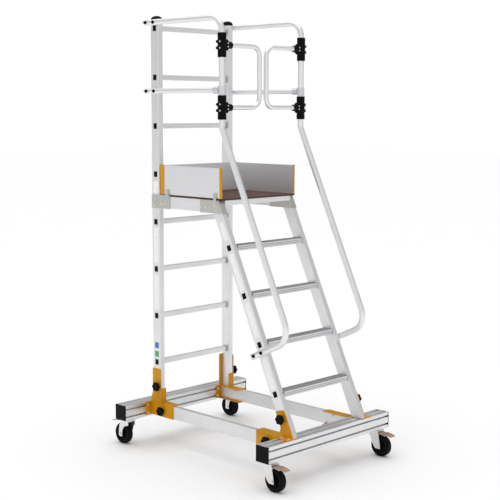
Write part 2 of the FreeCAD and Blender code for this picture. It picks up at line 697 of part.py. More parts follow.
deck_beam_front = stair_y(deck_bottom) + stair_band + 2
rear_stile_front = rear_y - stile_half
deck_beam_outside = box("deck_beam_outside",
                        ("deck_beam_thick", rear_stile_front - deck_beam_front, "deck_beam_height"),
                        ("-ladder_half", deck_beam_front, "deck_bottom - deck_beam_height"))
deck_beam_inside = box("deck_beam_inside",
                       ("deck_beam_thick - 2 * tube_wall", rear_stile_front - deck_beam_front + 2,
                        "deck_beam_height - 2 * tube_wall"),
                       ("-ladder_half + tube_wall", deck_beam_front - 1,
                        "deck_bottom - deck_beam_height + tube_wall"))
deck_beam_openings = fuse("deck_beam_openings", deck_beam_inside, left_hole_set)
deck_side_beams = both_sides("deck_side_beams", cut("side_beam", deck_beam_outside, deck_beam_openings))


def cross_beam(label, y, width, height, half_length):
    """A hollow bar under the deck, between the two sides."""
    outside = box(f"{label}_outside", (2 * half_length, width, height),
                  (-half_length, y, f"deck_bottom - {height}"))
    inside = box(f"{label}_inside",
                 (2 * half_length + 2, f"{width} - 2 * tube_wall", f"{height} - 2 * tube_wall"),
                 (-half_length - 1, f"{y} + tube_wall", f"deck_bottom - {height} + tube_wall"))
    return cut(label, outside, inside)


bar_width, rear_bar_height = 40, 40
bar_front = dim("deck_front") + 4
front_bar = cross_beam("deck_front_bar", bar_front, bar_width, dim("nosing_height"),
                       inner_half - dim("gusset_thick"))
rear_bar = cross_beam("deck_rear_bar", rear_stile_front - bar_width - 10, bar_width, rear_bar_height,
                      half - dim("deck_beam_thick"))
deck_cross_beams = group("deck_cross_beams", front_bar, rear_bar)

gusset_low = deck_bottom - dim("deck_beam_height") - 3
gusset_high = deck_bottom - 1
skin = dim("gusset_thick") / cos(radians(lean))


def stair_face(height):
    """The front face of the stair stile at a height."""
    return stair_y(height) - stair_band


rear_gusset = plate_body("rear_gusset_plate",
                         rectangle(dim("gusset_rear"), gusset_low, rear_y + stile_half, gusset_high + 8),
                         "gusset_thick", gusset_face)
front_gusset_plate = plate_body("front_gusset_plate",
                                [(dim("gusset_front"), gusset_low), (dim("gusset_front"), gusset_high),
                                 (stair_face(gusset_high), gusset_high),
                                 (stair_face(gusset_low), gusset_low)],
                                "gusset_thick", gusset_face)
front_gusset_wrap = plate_body("front_gusset_wrap",
                               [(stair_face(gusset_low), gusset_low), (stair_face(gusset_high), gusset_high),
                                (stair_face(gusset_high) - skin, gusset_high),
                                (stair_face(gusset_low) - skin, gusset_low)],
                               "stile_thick + 2 * gusset_thick", gusset_face)
bar_low = deck_bottom - dim("nosing_height")
inner_cheek = plate_body("front_gusset_inner_cheek",
                         [(stair_face(gusset_low) - skin, gusset_low), (bar_front, bar_low),
                          (bar_front, gusset_high), (dim("gusset_front"), gusset_high),
                          (dim("gusset_front"), gusset_low)],
                         "gusset_thick", -inner_half)
front_gusset = fuse("front_gusset", front_gusset_plate, front_gusset_wrap, inner_cheek)
gusset_plates = group("gusset_plates", rear_gusset, front_gusset)
deck_gussets = both_sides("deck_gussets", cut("drilled_gussets", gusset_plates, left_hole_set))

left_toe_board = box("left_toe_board",
                     ("toe_thick", "deck_rear - corner_thick - deck_front - front_edge_lip", "toe_height"),
                     ("-ladder_half + corner_thick", "deck_front + front_edge_lip",
                      "deck_bottom + deck_thick"))
right_toe_board = mirrored("right_toe_board", left_toe_board)
rear_toe_board = box("rear_toe_board",
                     ("2 * (ladder_half - corner_thick - toe_thick)", "toe_thick", "toe_height"),
                     ("-ladder_half + corner_thick + toe_thick", "deck_rear - corner_thick - toe_thick",
                      "deck_bottom + deck_thick"))


def edge_strip(label, outline):
    """A yellow strip that stands on the deck, a little taller than the toe boards."""
    strip = outline_body(label, "XY_Plane", [outline], "toe_height + 2")
    strip.Placement = Placement(Vector(0, 0, deck_top), UPRIGHT)
    return strip


deck_front, deck_rear = dim("deck_front"), dim("deck_rear")
corner_thick, edge_width = dim("corner_thick"), dim("rear_edge_width")
lip_rear = deck_front + dim("front_edge_lip")
flange_rear = deck_front + dim("front_edge_width")
front_edge = edge_strip("front_edge", [
    (-half, deck_front), (-half, flange_rear), (-half + corner_thick, flange_rear),
    (-half + corner_thick, lip_rear), (-half + dim("edge_thick"), lip_rear),
    (-half + dim("edge_thick"), deck_front)])
corner_edge = edge_strip("corner_edge", [
    (-half, deck_rear - edge_width), (-half, deck_rear), (-half + edge_width, deck_rear),
    (-half + edge_width, deck_rear - corner_thick), (-half + corner_thick, deck_rear - corner_thick),
    (-half + corner_thick, deck_rear - edge_width)])
toe_board_edges = both_sides("toe_board_edges", front_edge, corner_edge)


def toe_clip(name):
    """A strip outside a gusset and the deck's edge, with a pad that reaches in to the toe board."""
    y = f"clip_{name}"
    strip = box(f"{name}_clip_strip", ("clip_thick", "clip_width", "clip_drop + clip_rise"),
                (gusset_face - dim("clip_thick"), y, "deck_bottom - clip_drop"))
    pad = box(f"{name}_clip_pad", ("gusset_thick + 2", "clip_width", "clip_rise - deck_thick - 4"),
              (gusset_face, y, "deck_bottom + deck_thick + 4"))
    return fuse(f"{name}_clip", strip, pad)


toe_board_clips = both_sides("toe_board_clips", toe_clip("front"), toe_clip("rear"))

# ---------------------------------------------------------------- handrails

post_y = dim("post_y")
handrail_corners = [
    Vector(-rail_x, dim("rail_rear_end"), dim("top_rail")), Vector(-rail_x, post_y, dim("top_rail")),
    Vector(-rail_x, post_y, dim("knee")), low_corner, low_end,
]
handrail_tube = bent_tube("handrail_tube", handrail_corners,
                          [dim("top_bend"), dim("knee_bend"), dim("low_bend")], "rail_radius")
left_handrail = cut("left_handrail", handrail_tube, left_hole_set)
right_handrail = mirrored("right_handrail", left_handrail)

mid_start = post_y + dim("rail_radius") + 6
mid_outside = cylinder("mid_rail_outside", "mid_rail_radius", f"rail_rear_end - ({mid_start})",
                       ("-rail_x", mid_start, "mid_rail"), TO_Y)
mid_inside = cylinder("mid_rail_inside", "mid_rail_radius - tube_wall", f"rail_rear_end - ({mid_start}) + 2",
                      ("-rail_x", mid_start - 1, "mid_rail"), TO_Y)
mid_tube = cut("mid_rail_tube", mid_outside, mid_inside)
mid_rails = both_sides("mid_rails", cut("mid_rail_drilled", mid_tube, left_hole_set))

tee_outside = fuse("tee_outside",
                   cylinder("tee_sleeve", "tee_radius", "tee_height",
                            ("-rail_x", "post_y", "mid_rail - tee_height / 2")),
                   cylinder("tee_stub", "mid_rail_radius + 5", "tee_reach",
                            ("-rail_x", "post_y", "mid_rail"), TO_Y))
tee_bores = fuse("tee_bores",
                 cylinder("tee_post_bore", "rail_radius", "tee_height + 2",
                          ("-rail_x", "post_y", "mid_rail - tee_height / 2 - 1")),
                 cylinder("tee_rail_bore", "mid_rail_radius", "tee_reach + 2",
                          ("-rail_x", mid_start, "mid_rail"), TO_Y))
mid_rail_tees = both_sides("mid_rail_tees", cut("tee", tee_outside, tee_bores))

# ---------------------------------------------------------------- safety gate

collar_half = dim("collar_height") / 2
gap = dim("hinge_gap")
barrels = []
for number, height in enumerate((dim("gate_low"), dim("gate_high"))):
    over = height + collar_half
    under = height - collar_half - dim("barrel_length")
    for place, start in (("over", over), ("under", under)):
        outside = cylinder(f"barrel_outside_{number}_{place}", "barrel_radius", "barrel_length",
                           ("-rail_x", "post_y", start))
        inside = cylinder(f"barrel_inside_{number}_{place}", "rail_radius", "barrel_length + 2",
                          ("-rail_x", "post_y", start - 1))
        barrels.append(cut(f"barrel_{number}_{place}", outside, inside))
gate_hinge_barrels = both_sides("gate_hinge_barrels", *barrels)


def gate_collar(name, height):
    """A collar that turns on the post between two fixed barrels, with an eared clamp for the leaf."""
    low = height - collar_half + gap
    tall = 2 * (collar_half - gap)
    ring = cylinder(f"collar_ring_{name}", "barrel_radius", tall, ("-rail_x", "post_y", low))
    ears = box(f"collar_ears_{name}", ("ear_thick", "ear_width", tall),
               ("-rail_x + ear_reach - ear_thick", "post_y - ear_width / 2", low))
    heel = box(f"collar_heel_{name}", ("ear_thick", "ear_width - 8", f"{tall} - 10"),
               ("-rail_x - ear_reach + 2", "post_y - ear_width / 2 + 4", low + 5))
    socket = cylinder(f"collar_socket_{name}", "socket_radius", "rail_x - socket_end - socket_start",
                      ("-rail_x + socket_start", "post_y", height), TO_X)
    turning = cylinder(f"collar_bore_{name}", "rail_radius + fit", tall + 2, ("-rail_x", "post_y", low - 1))
    seat = cylinder(f"collar_seat_{name}", "gate_radius", "rail_x - socket_end + 2",
                    ("-rail_x + leaf_inset", "post_y", height), TO_X)
    return cut(f"collar_{name}", fuse(f"collar_outside_{name}", ring, ears, heel, socket),
               fuse(f"collar_bores_{name}", turning, seat))


left_gate_collars = group("left_gate_collars", gate_collar("low", dim("gate_low")),
                          gate_collar("high", dim("gate_high")))
right_gate_collars = mirrored("right_gate_collars", left_gate_collars)

leaf_start = -rail_x + dim("leaf_inset")
leaf_end = -dim("gate_inner_x")
leaf_corners = [Vector(leaf_start, post_y, dim("gate_high")), Vector(leaf_end, post_y, dim("gate_high")),
                Vector(leaf_end, post_y, dim("gate_low")), Vector(leaf_start, post_y, dim("gate_low"))]
left_gate_leaf = bent_tube("left_gate_leaf", leaf_corners, [dim("gate_bend")] * 2, "gate_radius")
right_gate_leaf = mirrored("right_gate_leaf", left_gate_leaf)

# ---------------------------------------------------------------- casters, drawn about their swivel axes

trail = dim("trail")
wheel_z = dim("wheel_radius")
fork_top = dim("fork_top")
CASTERS = {
    "front_left": (-1, -1, 0), "front_right": (1, -1, 0),
    "rear_left": (-1, 1, 180), "rear_right": (1, 1, 180),
}


def caster_place(corner):
    side, end, turn = CASTERS[corner]
    return Placement(Vector(side * dim("caster_x"), end * dim("beam_y"), 0), Rotation(Vector(0, 0, 1), turn))


def caster_plate(corner):
    """Top plate with its raceway, kingpin and kingpin nut."""
    race_low = beam_bottom - plate - dim("raceway_height")
    pin_low = dim("kingpin_low")
    top = box(f"{corner}_top_plate", ("caster_plate_x", "caster_plate_y", "plate"),
              ("-caster_plate_x / 2", "-caster_plate_y / 2", "beam_bottom - plate"))
    holes = [cylinder(f"{corner}_plate_hole_{along + 1}_{across + 1}", "bolt_radius", "plate + 2",
                      (along * half_pitch, across * slot, "beam_bottom - plate - 1"))
             for along in (-1, 1) for across in (-1, 1)]
    raceway = cylinder(f"{corner}_raceway", "raceway_radius", "raceway_height", (0, 0, race_low))
    pin = cylinder(f"{corner}_kingpin", "kingpin_radius", race_low - pin_low, (0, 0, pin_low))
    nut = cylinder(f"{corner}_kingpin_nut", "kingpin_nut",
                   "fork_top - fork_crown - hinge_gap - kingpin_low - 1", (0, 0, pin_low + 1))
    part = cut(f"{corner}_swivel_plate", fuse(f"{corner}_plate_outside", top, raceway, pin, nut), *holes)
    part.Placement = caster_place(corner)
    return part


def caster_fork(corner):
    """Bent fork with one broad leg and one narrow leg, its axle bolt and the brake pedal's pin."""
    across = "fork_gap + 2 * fork_plate"
    outer_face = -dim("fork_gap") / 2 - dim("fork_plate")
    front, rear = dim("leg_front"), -dim("leg_rear")
    axle_at = ("-trail", "wheel_radius")
    pin_at = ("pedal_pin_y", "pedal_pin_z")
    leg_outlines = {
        "left": [(front, fork_top), (rear, fork_top), (-46, 108), (-52, 76), (-55, 52), (-51, 46),
                 (-22, 47), (-12, 53), (4, 76), (15, 109), (front, fork_top - 26)],
        "right": [(front, fork_top), (rear, fork_top), (-52, 112), (-56, 85), (-57, 52), (-53, 47),
                  (-31, 45), (-27, 49), (-25, 84), (-14, 104), (-3, 114), (front, fork_top - 26)],
    }
    crown = box(f"{corner}_crown", (across, "leg_front + leg_rear", "fork_crown"),
                (outer_face, "-leg_rear", "fork_top - fork_crown"))
    legs = []
    for side, start in (("left", outer_face), ("right", dim("fork_gap") / 2)):
        legs.append(plate_body(f"{corner}_{side}_leg", leg_outlines[side], "fork_plate", start))
    holes = [
        cylinder(f"{corner}_kingpin_hole", "kingpin_radius + fit", "fork_crown + 2",
                 (0, 0, "fork_top - fork_crown - 1")),
        cylinder(f"{corner}_axle_hole", "axle_radius", f"{across} + 2", (outer_face - 1, *axle_at), TO_X),
        cylinder(f"{corner}_pin_hole", "pedal_pin_radius", f"{across} + 2", (outer_face - 1, *pin_at), TO_X),
    ]
    yoke = cut(f"{corner}_yoke", fuse(f"{corner}_yoke_outside", crown, *legs), *holes)
    axle = fuse(f"{corner}_axle",
                cylinder(f"{corner}_axle_shank", "axle_radius", across, (outer_face, *axle_at), TO_X),
                cylinder(f"{corner}_axle_head", "axle_head", "axle_head_height",
                         (f"{outer_face} - axle_head_height", *axle_at), TO_X),
                cylinder(f"{corner}_axle_nut", "axle_head", "axle_head_height",
                         (-outer_face, *axle_at), TO_X))
    pin = cylinder(f"{corner}_pedal_pin", "pedal_pin_radius", across, (outer_face, *pin_at), TO_X)
    part = group(f"{corner}_fork", yoke, axle, pin)
    part.Placement = caster_place(corner)
    return part


def turned_body(label, profile):
    """A body turned about its own X axis from a closed profile of (x, radius) points."""
    body = doc.addObject("PartDesign::Body", label)
    sketch = sketch_on(body, f"{label}_profile", "XZ_Plane", [profile])
    turn = body.newObject("PartDesign::Revolution", f"{label}_turn")
    turn.Profile = sketch
    turn.ReferenceAxis = (sketch, ["H_Axis"])
    turn.Angle = 360
    return body


def wheel_place(corner):
    return caster_place(corner).multiply(Placement(Vector(0, -trail, wheel_z), UPRIGHT))


def caster_rim(corner):
    hub, bore = dim("hub_width") / 2, dim("axle_radius") + dim("fit")
    rim, band = dim("rim_radius"), dim("wheel_width") / 2 - 3
    right = [(hub, bore), (hub, 14), (6, 17), (6, rim - 11), (band, rim - 7), (band, rim)]
    rim_body = turned_body(f"{corner}_rim", right + [(-x, r) for x, r in reversed(right)])
    rim_body.Placement = wheel_place(corner)
    return rim_body


def caster_tyre(corner):
    width, crown, rim = dim("wheel_width") / 2, dim("wheel_radius"), dim("rim_radius")
    right = [(width - 3, rim), (width, rim + 3), (width, crown - 7), (width - 3, crown - 2),
             (width - 8, crown)]
    tyre = turned_body(f"{corner}_tyre", right + [(-x, r) for x, r in reversed(right)])
    tyre.Placement = wheel_place(corner)
    return tyre


def about_pedal_pin(points):
    """Outline points measured from the brake pedal's pin."""
    return [(dim("pedal_pin_y") + y, dim("pedal_pin_z") + z) for y, z in points]


def brake_pedal(corner):
    """Pressed lever on a knuckle, with a shoe strip above the tyre and a wider pad at its outer end."""
    arm = plate_body(f"{corner}_pedal_arm", about_pedal_pin([
        (0, 6), (-28, 7), (-46, 5.4), (-46, 0.5), (-26, 1), (-24, -2), (-34, -4.5), (-47, -8.5),
        (-47, -11), (-34, -7), (-20, -5), (-14, -1), (0, 0)]), "pedal_width", -dim("pedal_width") / 2)
    pad = plate_body(f"{corner}_pedal_pad", about_pedal_pin([
        (-40, 6), (-62, 3.5), (-90, -3), (-95, -8), (-91.5, -10), (-88, -6), (-60, -1), (-40, 1)]),
        "pad_width", -dim("pad_width") / 2)
    hole = cylinder(f"{corner}_pad_hole", "pad_hole", 30, (0, "pedal_pin_y - 66", "pedal_pin_z - 15"))
    knuckle = cylinder(f"{corner}_knuckle", "pedal_knuckle", "pedal_width",
                       ("-pedal_width / 2", "pedal_pin_y", "pedal_pin_z"), TO_X)
    bore = cylinder(f"{corner}_knuckle_bore", "pedal_pin_radius + fit", "pedal_width + 2",
                    ("-pedal_width / 2 - 1", "pedal_pin_y", "pedal_pin_z"), TO_X)
    part = cut(f"{corner}_brake_pedal", fuse(f"{corner}_pedal_outside", arm, pad, knuckle), bore, hole)
    part.Placement = caster_place(corner)
    return part


caster_plates = group("caster_plates", *[caster_plate(corner) for corner in CASTERS])
caster_pieces = (caster_fork, caster_tyre, caster_rim, brake_pedal)
caster_nodes = [make(corner) for corner in CASTERS for make in caster_pieces]

# ---------------------------------------------------------------- check and export

NODES = [
    front_cross_beam, rear_cross_beam, beam_end_caps, left_side_rail, right_side_rail,
    front_left_bracket, front_right_bracket, rear_left_bracket, rear_right_bracket, frame_bolts,
    left_rear_stile, right_rear_stile, rear_rungs, left_front_stile, right_front_stile, stair_treads,
    end_plugs, deck_panel, deck_side_beams, deck_cross_beams, deck_gussets, left_toe_board,
    right_toe_board, rear_toe_board, toe_board_edges, toe_board_clips, left_handrail, right_handrail,
    mid_rails, mid_rail_tees, gate_hinge_barrels, caster_plates, left_gate_leaf, left_gate_collars,
    right_gate_leaf, right_gate_collars, *caster_nodes, *knobs.values(),
]

doc.recompute()
for item in doc.Objects:
    failed = {"Invalid", "Error"} & set(item.State)
    assert not failed, f"{item.Label} is {failed}"
for node in NODES:
    assert not node.Shape.isNull() and node.Shape.isValid(), f"{node.Label} has no valid shape"
    assert node.Shape.Solids, f"{node.Label} has no solid"

os.makedirs("parts", exist_ok=True)
for node in NODES:
    node.Shape.exportStep(f"parts/{node.Label}.step")
print(len(NODES), "nodes,", sum(len(node.Shape.Solids) for node in NODES), "solids")
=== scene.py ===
import json
import math

import bmesh
import bpy
from mathutils import Matrix, Quaternion, Vector


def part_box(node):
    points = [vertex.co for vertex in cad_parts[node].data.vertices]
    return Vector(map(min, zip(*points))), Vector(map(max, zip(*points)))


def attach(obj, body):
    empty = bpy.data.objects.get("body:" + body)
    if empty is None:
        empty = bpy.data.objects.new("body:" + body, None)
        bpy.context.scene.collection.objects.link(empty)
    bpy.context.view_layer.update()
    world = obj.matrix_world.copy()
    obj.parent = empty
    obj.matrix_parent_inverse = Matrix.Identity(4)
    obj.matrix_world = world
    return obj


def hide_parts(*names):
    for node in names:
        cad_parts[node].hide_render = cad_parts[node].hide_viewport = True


# The looks of the rolling warehouse ladder, in metres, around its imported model.
# +X is to the climber's right, +Y is the way they climb, +Z is up.

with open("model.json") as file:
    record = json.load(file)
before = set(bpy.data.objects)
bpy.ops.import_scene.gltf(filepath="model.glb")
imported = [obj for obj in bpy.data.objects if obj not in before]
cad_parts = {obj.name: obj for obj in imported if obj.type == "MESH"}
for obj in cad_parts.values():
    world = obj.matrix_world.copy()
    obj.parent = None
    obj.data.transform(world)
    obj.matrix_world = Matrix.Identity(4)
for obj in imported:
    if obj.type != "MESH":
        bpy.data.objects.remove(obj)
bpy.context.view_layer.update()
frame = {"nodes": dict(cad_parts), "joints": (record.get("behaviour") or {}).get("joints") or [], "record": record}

RECORD = frame["record"]
NODE_SLOT = {entry["node"]: entry["material_slot"] for entry in RECORD["subparts"]}
NODE_BODY = {node: body for body, nodes in RECORD["behaviour"]["bodies"].items() for node in nodes}
JOINTS = {joint["name"]: joint for joint in frame["joints"]}
CORNERS = ("front_left", "front_right", "rear_left", "rear_right")
SIDES = {"left": -1, "right": 1}
MM = 0.001

# Where things are, in millimetres, and how far the stair's stiles lean back.
LEAN = math.radians(25)
INNER, OUTER = 268, 300
TREADS, FIRST_TREAD, FIRST_TREAD_Y, TREAD_PITCH = 4, 470, -483, 254
RUNGS, FIRST_RUNG, RUNG_PITCH, RUNG_DEPTH, RUNG_HEIGHT = 8, 495, 280, 25, 30
REAR_STILE_Y, REAR_STILE_TOP = 488, 2500
RAIL_X, RAIL_RADIUS, POST_Y, MID_RAIL = 318, 17, -92, 2096
SIDE_RAIL_INNER = 270
SHANK_RADIUS, BOLT_HEAD, BUTTON_HEAD = 4, 5, 8


# ---------------------------------------------------------------- materials

class Graph:
    """One procedural material: a Principled shader and the nodes that feed it."""

    def __init__(self, name, **constants):
        self.material = bpy.data.materials.new(name)
        self.material.use_nodes = True
        self.tree = self.material.node_tree
        self.tree.nodes.clear()
        output = self.tree.nodes.new("ShaderNodeOutputMaterial")
        self.shader = self.node("ShaderNodeBsdfPrincipled", **constants)
        self.tree.links.new(self.shader.outputs[0], output.inputs["Surface"])
        self.place = self.node("ShaderNodeTexCoord").outputs["Object"]

    def node(self, kind, settings=None, **inputs):
        node = self.tree.nodes.new(kind)
        for name, value in (settings or {}).items():
            setattr(node, name, value)
        for name, value in inputs.items():
            self.feed(node.inputs[name.replace("_", " ")], value)
        return node

    def feed(self, socket, value):
        if isinstance(value, bpy.types.NodeSocket):
            self.tree.links.new(value, socket)
        else:
            socket.default_value = value

    def set(self, **inputs):
        for name, value in inputs.items():
            self.feed(self.shader.inputs[name.replace("_", " ")], value)

    def mapped(self, stretch=(1, 1, 1), turn=(0, 0, 0)):
        """The place on the object, turned and then squeezed along its new axes."""
        return self.node("ShaderNodeMapping", {"vector_type": "TEXTURE"}, Vector=self.place,
                         Rotation=turn, Scale=tuple(1 / share for share in stretch)).outputs[0]

    def noise(self, scale, detail=3.0, rough=0.55, stretch=(1, 1, 1), turn=(0, 0, 0)):
        vector = self.mapped(stretch, turn)
        return self.node("ShaderNodeTexNoise", Vector=vector, Scale=scale, Detail=detail,
                         Roughness=rough).outputs["Fac"]

    def cells(self, scale):
        return self.node("ShaderNodeTexVoronoi", Vector=self.mapped(), Scale=scale).outputs["Distance"]

    def math(self, operation, first, second=0.0):
        node = self.node("ShaderNodeMath", {"operation": operation})
        self.feed(node.inputs[0], first)
        self.feed(node.inputs[1], second)
        return node.outputs[0]

    def span(self, value, low, high, to_low=0.0, to_high=1.0):
        """The value mapped from one range to another, and clamped to it."""
        node = self.node("ShaderNodeMapRange", Value=value)
        for socket, number in zip(("From Min", "From Max", "To Min", "To Max"), (low, high, to_low, to_high)):
            node.inputs[socket].default_value = number
        return node.outputs[0]

    def blend(self, factor, first, second):
        """The first colour where the factor is 0 and the second where it is 1."""
        node = self.node("ShaderNodeMix", {"data_type": "RGBA"})
        self.feed(node.inputs[0], factor)
        self.feed(node.inputs[6], first)
        self.feed(node.inputs[7], second)
        return node.outputs[2]

    def bump(self, height, depth):
        """The surface's normal, tilted by a height that stands for a depth in metres."""
        return self.node("ShaderNodeBump", Height=height, Distance=depth, Strength=1.0).outputs[0]

    def edges(self, radius):
        """1 along edges and 0 on flat surfaces."""
        rounded = self.node("ShaderNodeBevel", {"samples": 4}, Radius=radius).outputs[0]
        flat = self.node("ShaderNodeNewGeometry").outputs["Normal"]
        product = self.node("ShaderNodeVectorMath", {"operation": "DOT_PRODUCT"})
        self.feed(product.inputs[0], rounded)
        self.feed(product.inputs[1], flat)
        return self.span(product.outputs["Value"], 0.995, 0.85)


def colour(red, green, blue):
    return (red, green, blue, 1.0)


def shade(tone, factor):
    return tuple(channel * factor for channel in tone[:3]) + (1.0,)


# How the grain of drawn metal is stretched and turned, by the way it was drawn. ROUND is for bent tubes.
GRAINS = {
    "X": ((0.01, 1, 1), (0, 0, 0)),
    "Y": ((1, 0.01, 1), (0, 0, 0)),
    "Z": ((1, 1, 0.01), (0, 0, 0)),
    "SLOPE": ((1, 1, 0.01), (-LEAN, 0, 0)),
    "ROUND": ((0.2, 0.2, 0.2), (0, 0, 0)),
}


def extruded_metal(name, tone, along, roughness=0.4, line_depth=0.00004, streak=1.0):
    """Drawn or extruded aluminium: fine lines along its length, the haze of handling, and a painted highlight
    along its edges.
    """
    graph = Graph(name, Metallic=0.9)
    lines = graph.noise(900, 3, 0.7, *GRAINS[along])
    bands = graph.noise(120, 2, 0.5, *GRAINS[along])
    haze = graph.noise(7, 4, 0.6)
    tinted = graph.blend(graph.span(bands, 0.3, 0.7), shade(tone, 1 - 0.05 * streak), tone)
    smudged = graph.blend(graph.span(haze, 0.45, 0.8, 0.0, 0.3), tinted,
                          shade(tone, 1 - 0.14 * streak))
    # Painted highlight: the colour is lighter along every edge.
    edge_highlit = graph.blend(graph.math("MULTIPLY", graph.edges(0.0012), 0.45), smudged, shade(tone, 1.12))
    gloss = graph.math("ADD", graph.span(lines, 0.3, 0.7, -0.06 * streak, 0.06 * streak),
                       graph.span(haze, 0.3, 0.7, roughness - 0.05, roughness + 0.08))
    graph.set(Base_Color=edge_highlit, Roughness=gloss, Normal=graph.bump(lines, line_depth))
    return graph.material


def cast_metal(name, tone):
    """Bead-blasted casting: a fine even grain and a cloudy drift in tone."""
    graph = Graph(name, Metallic=0.85)
    grain = graph.noise(1400, 2, 0.6)
    cloud = graph.noise(30, 4, 0.6)
    base = graph.blend(graph.span(cloud, 0.3, 0.7), shade(tone, 0.88), tone)
    graph.set(Base_Color=base, Roughness=graph.span(grain, 0.3, 0.7, 0.38, 0.55),
              Normal=graph.bump(grain, 0.0001))
    return graph.material


def powder_coat(name, tone):
    """Thick satin powder coat: orange peel, slight colour drift, and metal showing at rubbed edges."""
    graph = Graph(name, Specular_IOR_Level=0.2)
    peel = graph.noise(650, 1, 0.4)
    drift = graph.noise(14, 3, 0.6)
    chips = graph.noise(240, 4, 0.75)
    base = graph.blend(graph.span(drift, 0.3, 0.7), shade(tone, 0.86), shade(tone, 1.08))
    rubbed = graph.math("MULTIPLY", graph.edges(0.0012), graph.span(chips, 0.52, 0.62))
    base = graph.blend(graph.math("MULTIPLY", rubbed, 0.7), base, colour(0.42, 0.33, 0.22))
    graph.set(Base_Color=base, Roughness=graph.span(drift, 0.3, 0.7, 0.34, 0.46),
              Normal=graph.bump(peel, 0.00012))
    return graph.material


def zinc_plate(name, tone, passivation, roughness):
    """Zinc plating: a crystalline sheen that drifts between grey and its passivation's tint."""
    graph = Graph(name, Metallic=0.95)
    crystals = graph.cells(260)
    drift = graph.noise(38, 4, 0.6)
    grain = graph.noise(1100, 2, 0.6)
    base = graph.blend(graph.span(drift, 0.35, 0.7), tone, passivation)
    base = graph.blend(graph.span(crystals, 0.0, 0.6, 0.0, 0.25), base, shade(tone, 0.8))
    # Painted highlight: the colour is lighter along every edge.
    edge_highlit = graph.blend(graph.math("MULTIPLY", graph.edges(0.0008), 0.4), base, shade(tone, 1.15))
    graph.set(Base_Color=edge_highlit, Roughness=graph.span(grain, 0.3, 0.7, roughness - 0.06, roughness + 0.1),
              Normal=graph.bump(grain, 0.00004))
    return graph.material


def moulded_plastic(name, tone, roughness):
    """Black moulded nylon: a leathery spark-eroded grain, and a painted highlight that makes every edge paler."""
    graph = Graph(name, Specular_IOR_Level=0.09)
    grain = graph.cells(1500)
    fine = graph.noise(2600, 2, 0.6)
    dust = graph.noise(22, 5, 0.65)
    base = graph.blend(graph.span(dust, 0.4, 0.8), tone, shade(tone, 2.2))
    # Painted highlight: every edge is paler.
    base = graph.blend(graph.math("MULTIPLY", graph.edges(0.001), 0.5), base, shade(tone, 4))
    height = graph.math("ADD", grain, graph.math("MULTIPLY", fine, 0.5))
    graph.set(Base_Color=base, Roughness=graph.span(dust, 0.3, 0.75, roughness - 0.06, roughness + 0.14),
              Normal=graph.bump(height, 0.00008))
    return graph.material


def tyre_rubber(name):
    """Solid rubber: matt black, with a dusty grey scuff where it rolls."""
    graph = Graph(name, Specular_IOR_Level=0.09)
    scuff = graph.noise(60, 5, 0.7)
    pores = graph.noise(1800, 2, 0.6)
    base = graph.blend(graph.span(scuff, 0.5, 0.8, 0.0, 0.6), colour(0.0022, 0.0022, 0.0025),
                       colour(0.0125, 0.012, 0.0115))
    graph.set(Base_Color=base, Roughness=graph.span(scuff, 0.3, 0.7, 0.42, 0.62),
              Normal=graph.bump(pores, 0.00008))
    return graph.material


def deck_board(name):
    """Film-faced plywood: a pressed wire mesh on its faces."""
    graph = Graph(name, Specular_IOR_Level=0.25)
    axes = graph.node("ShaderNodeSeparateXYZ", Vector=graph.place)
    mesh_pitch = 0.008
    wires = []
    for along in ("X", "Y"):
        phase = graph.math("MULTIPLY", axes.outputs[along], 2 * math.pi / mesh_pitch)
        wires.append(graph.math("ABSOLUTE", graph.math("SINE", phase)))
    mesh = graph.math("MINIMUM", *wires)
    blotch = graph.noise(9, 5, 0.65)
    film = graph.blend(graph.span(blotch, 0.3, 0.7), colour(0.075, 0.028, 0.018), colour(0.11, 0.044, 0.03))
    # Painted shade: the film is darker along the pressed mesh lines, in their recesses.
    film = graph.blend(graph.span(mesh, 0.0, 0.3, 0.5, 0.0), film, colour(0.03, 0.015, 0.011))
    graph.set(Base_Color=film, Roughness=graph.span(blotch, 0.3, 0.7, 0.42, 0.6),
              Normal=graph.bump(mesh, 0.0004))
    return graph.material


def label_film(name, tone):
    """A printed vinyl sticker with no lettering on it."""
    graph = Graph(name, Coat_Weight=0.5, Coat_Roughness=0.15)
    dust = graph.noise(60, 4, 0.6)
    base = graph.blend(graph.span(dust, 0.35, 0.75), tone, shade(tone, 0.86))
    graph.set(Base_Color=base, Roughness=graph.span(dust, 0.3, 0.7, 0.3, 0.42),
              Normal=graph.bump(graph.noise(300, 2, 0.5), 0.00005))
    return graph.material


MILL = colour(0.81, 0.813, 0.825)
YELLOW = colour(0.65, 0.285, 0.0015)
ZINC = colour(0.74, 0.75, 0.77)
BLACK = colour(0.0018, 0.0018, 0.002)
MADE = {}


def finish_for(look, along="Z"):
    """The material of a look, made once for each direction that its metal was drawn in."""
    key = (look, along)
    if key not in MADE:
        MADE[key] = make_finish(look, along)
    return MADE[key]


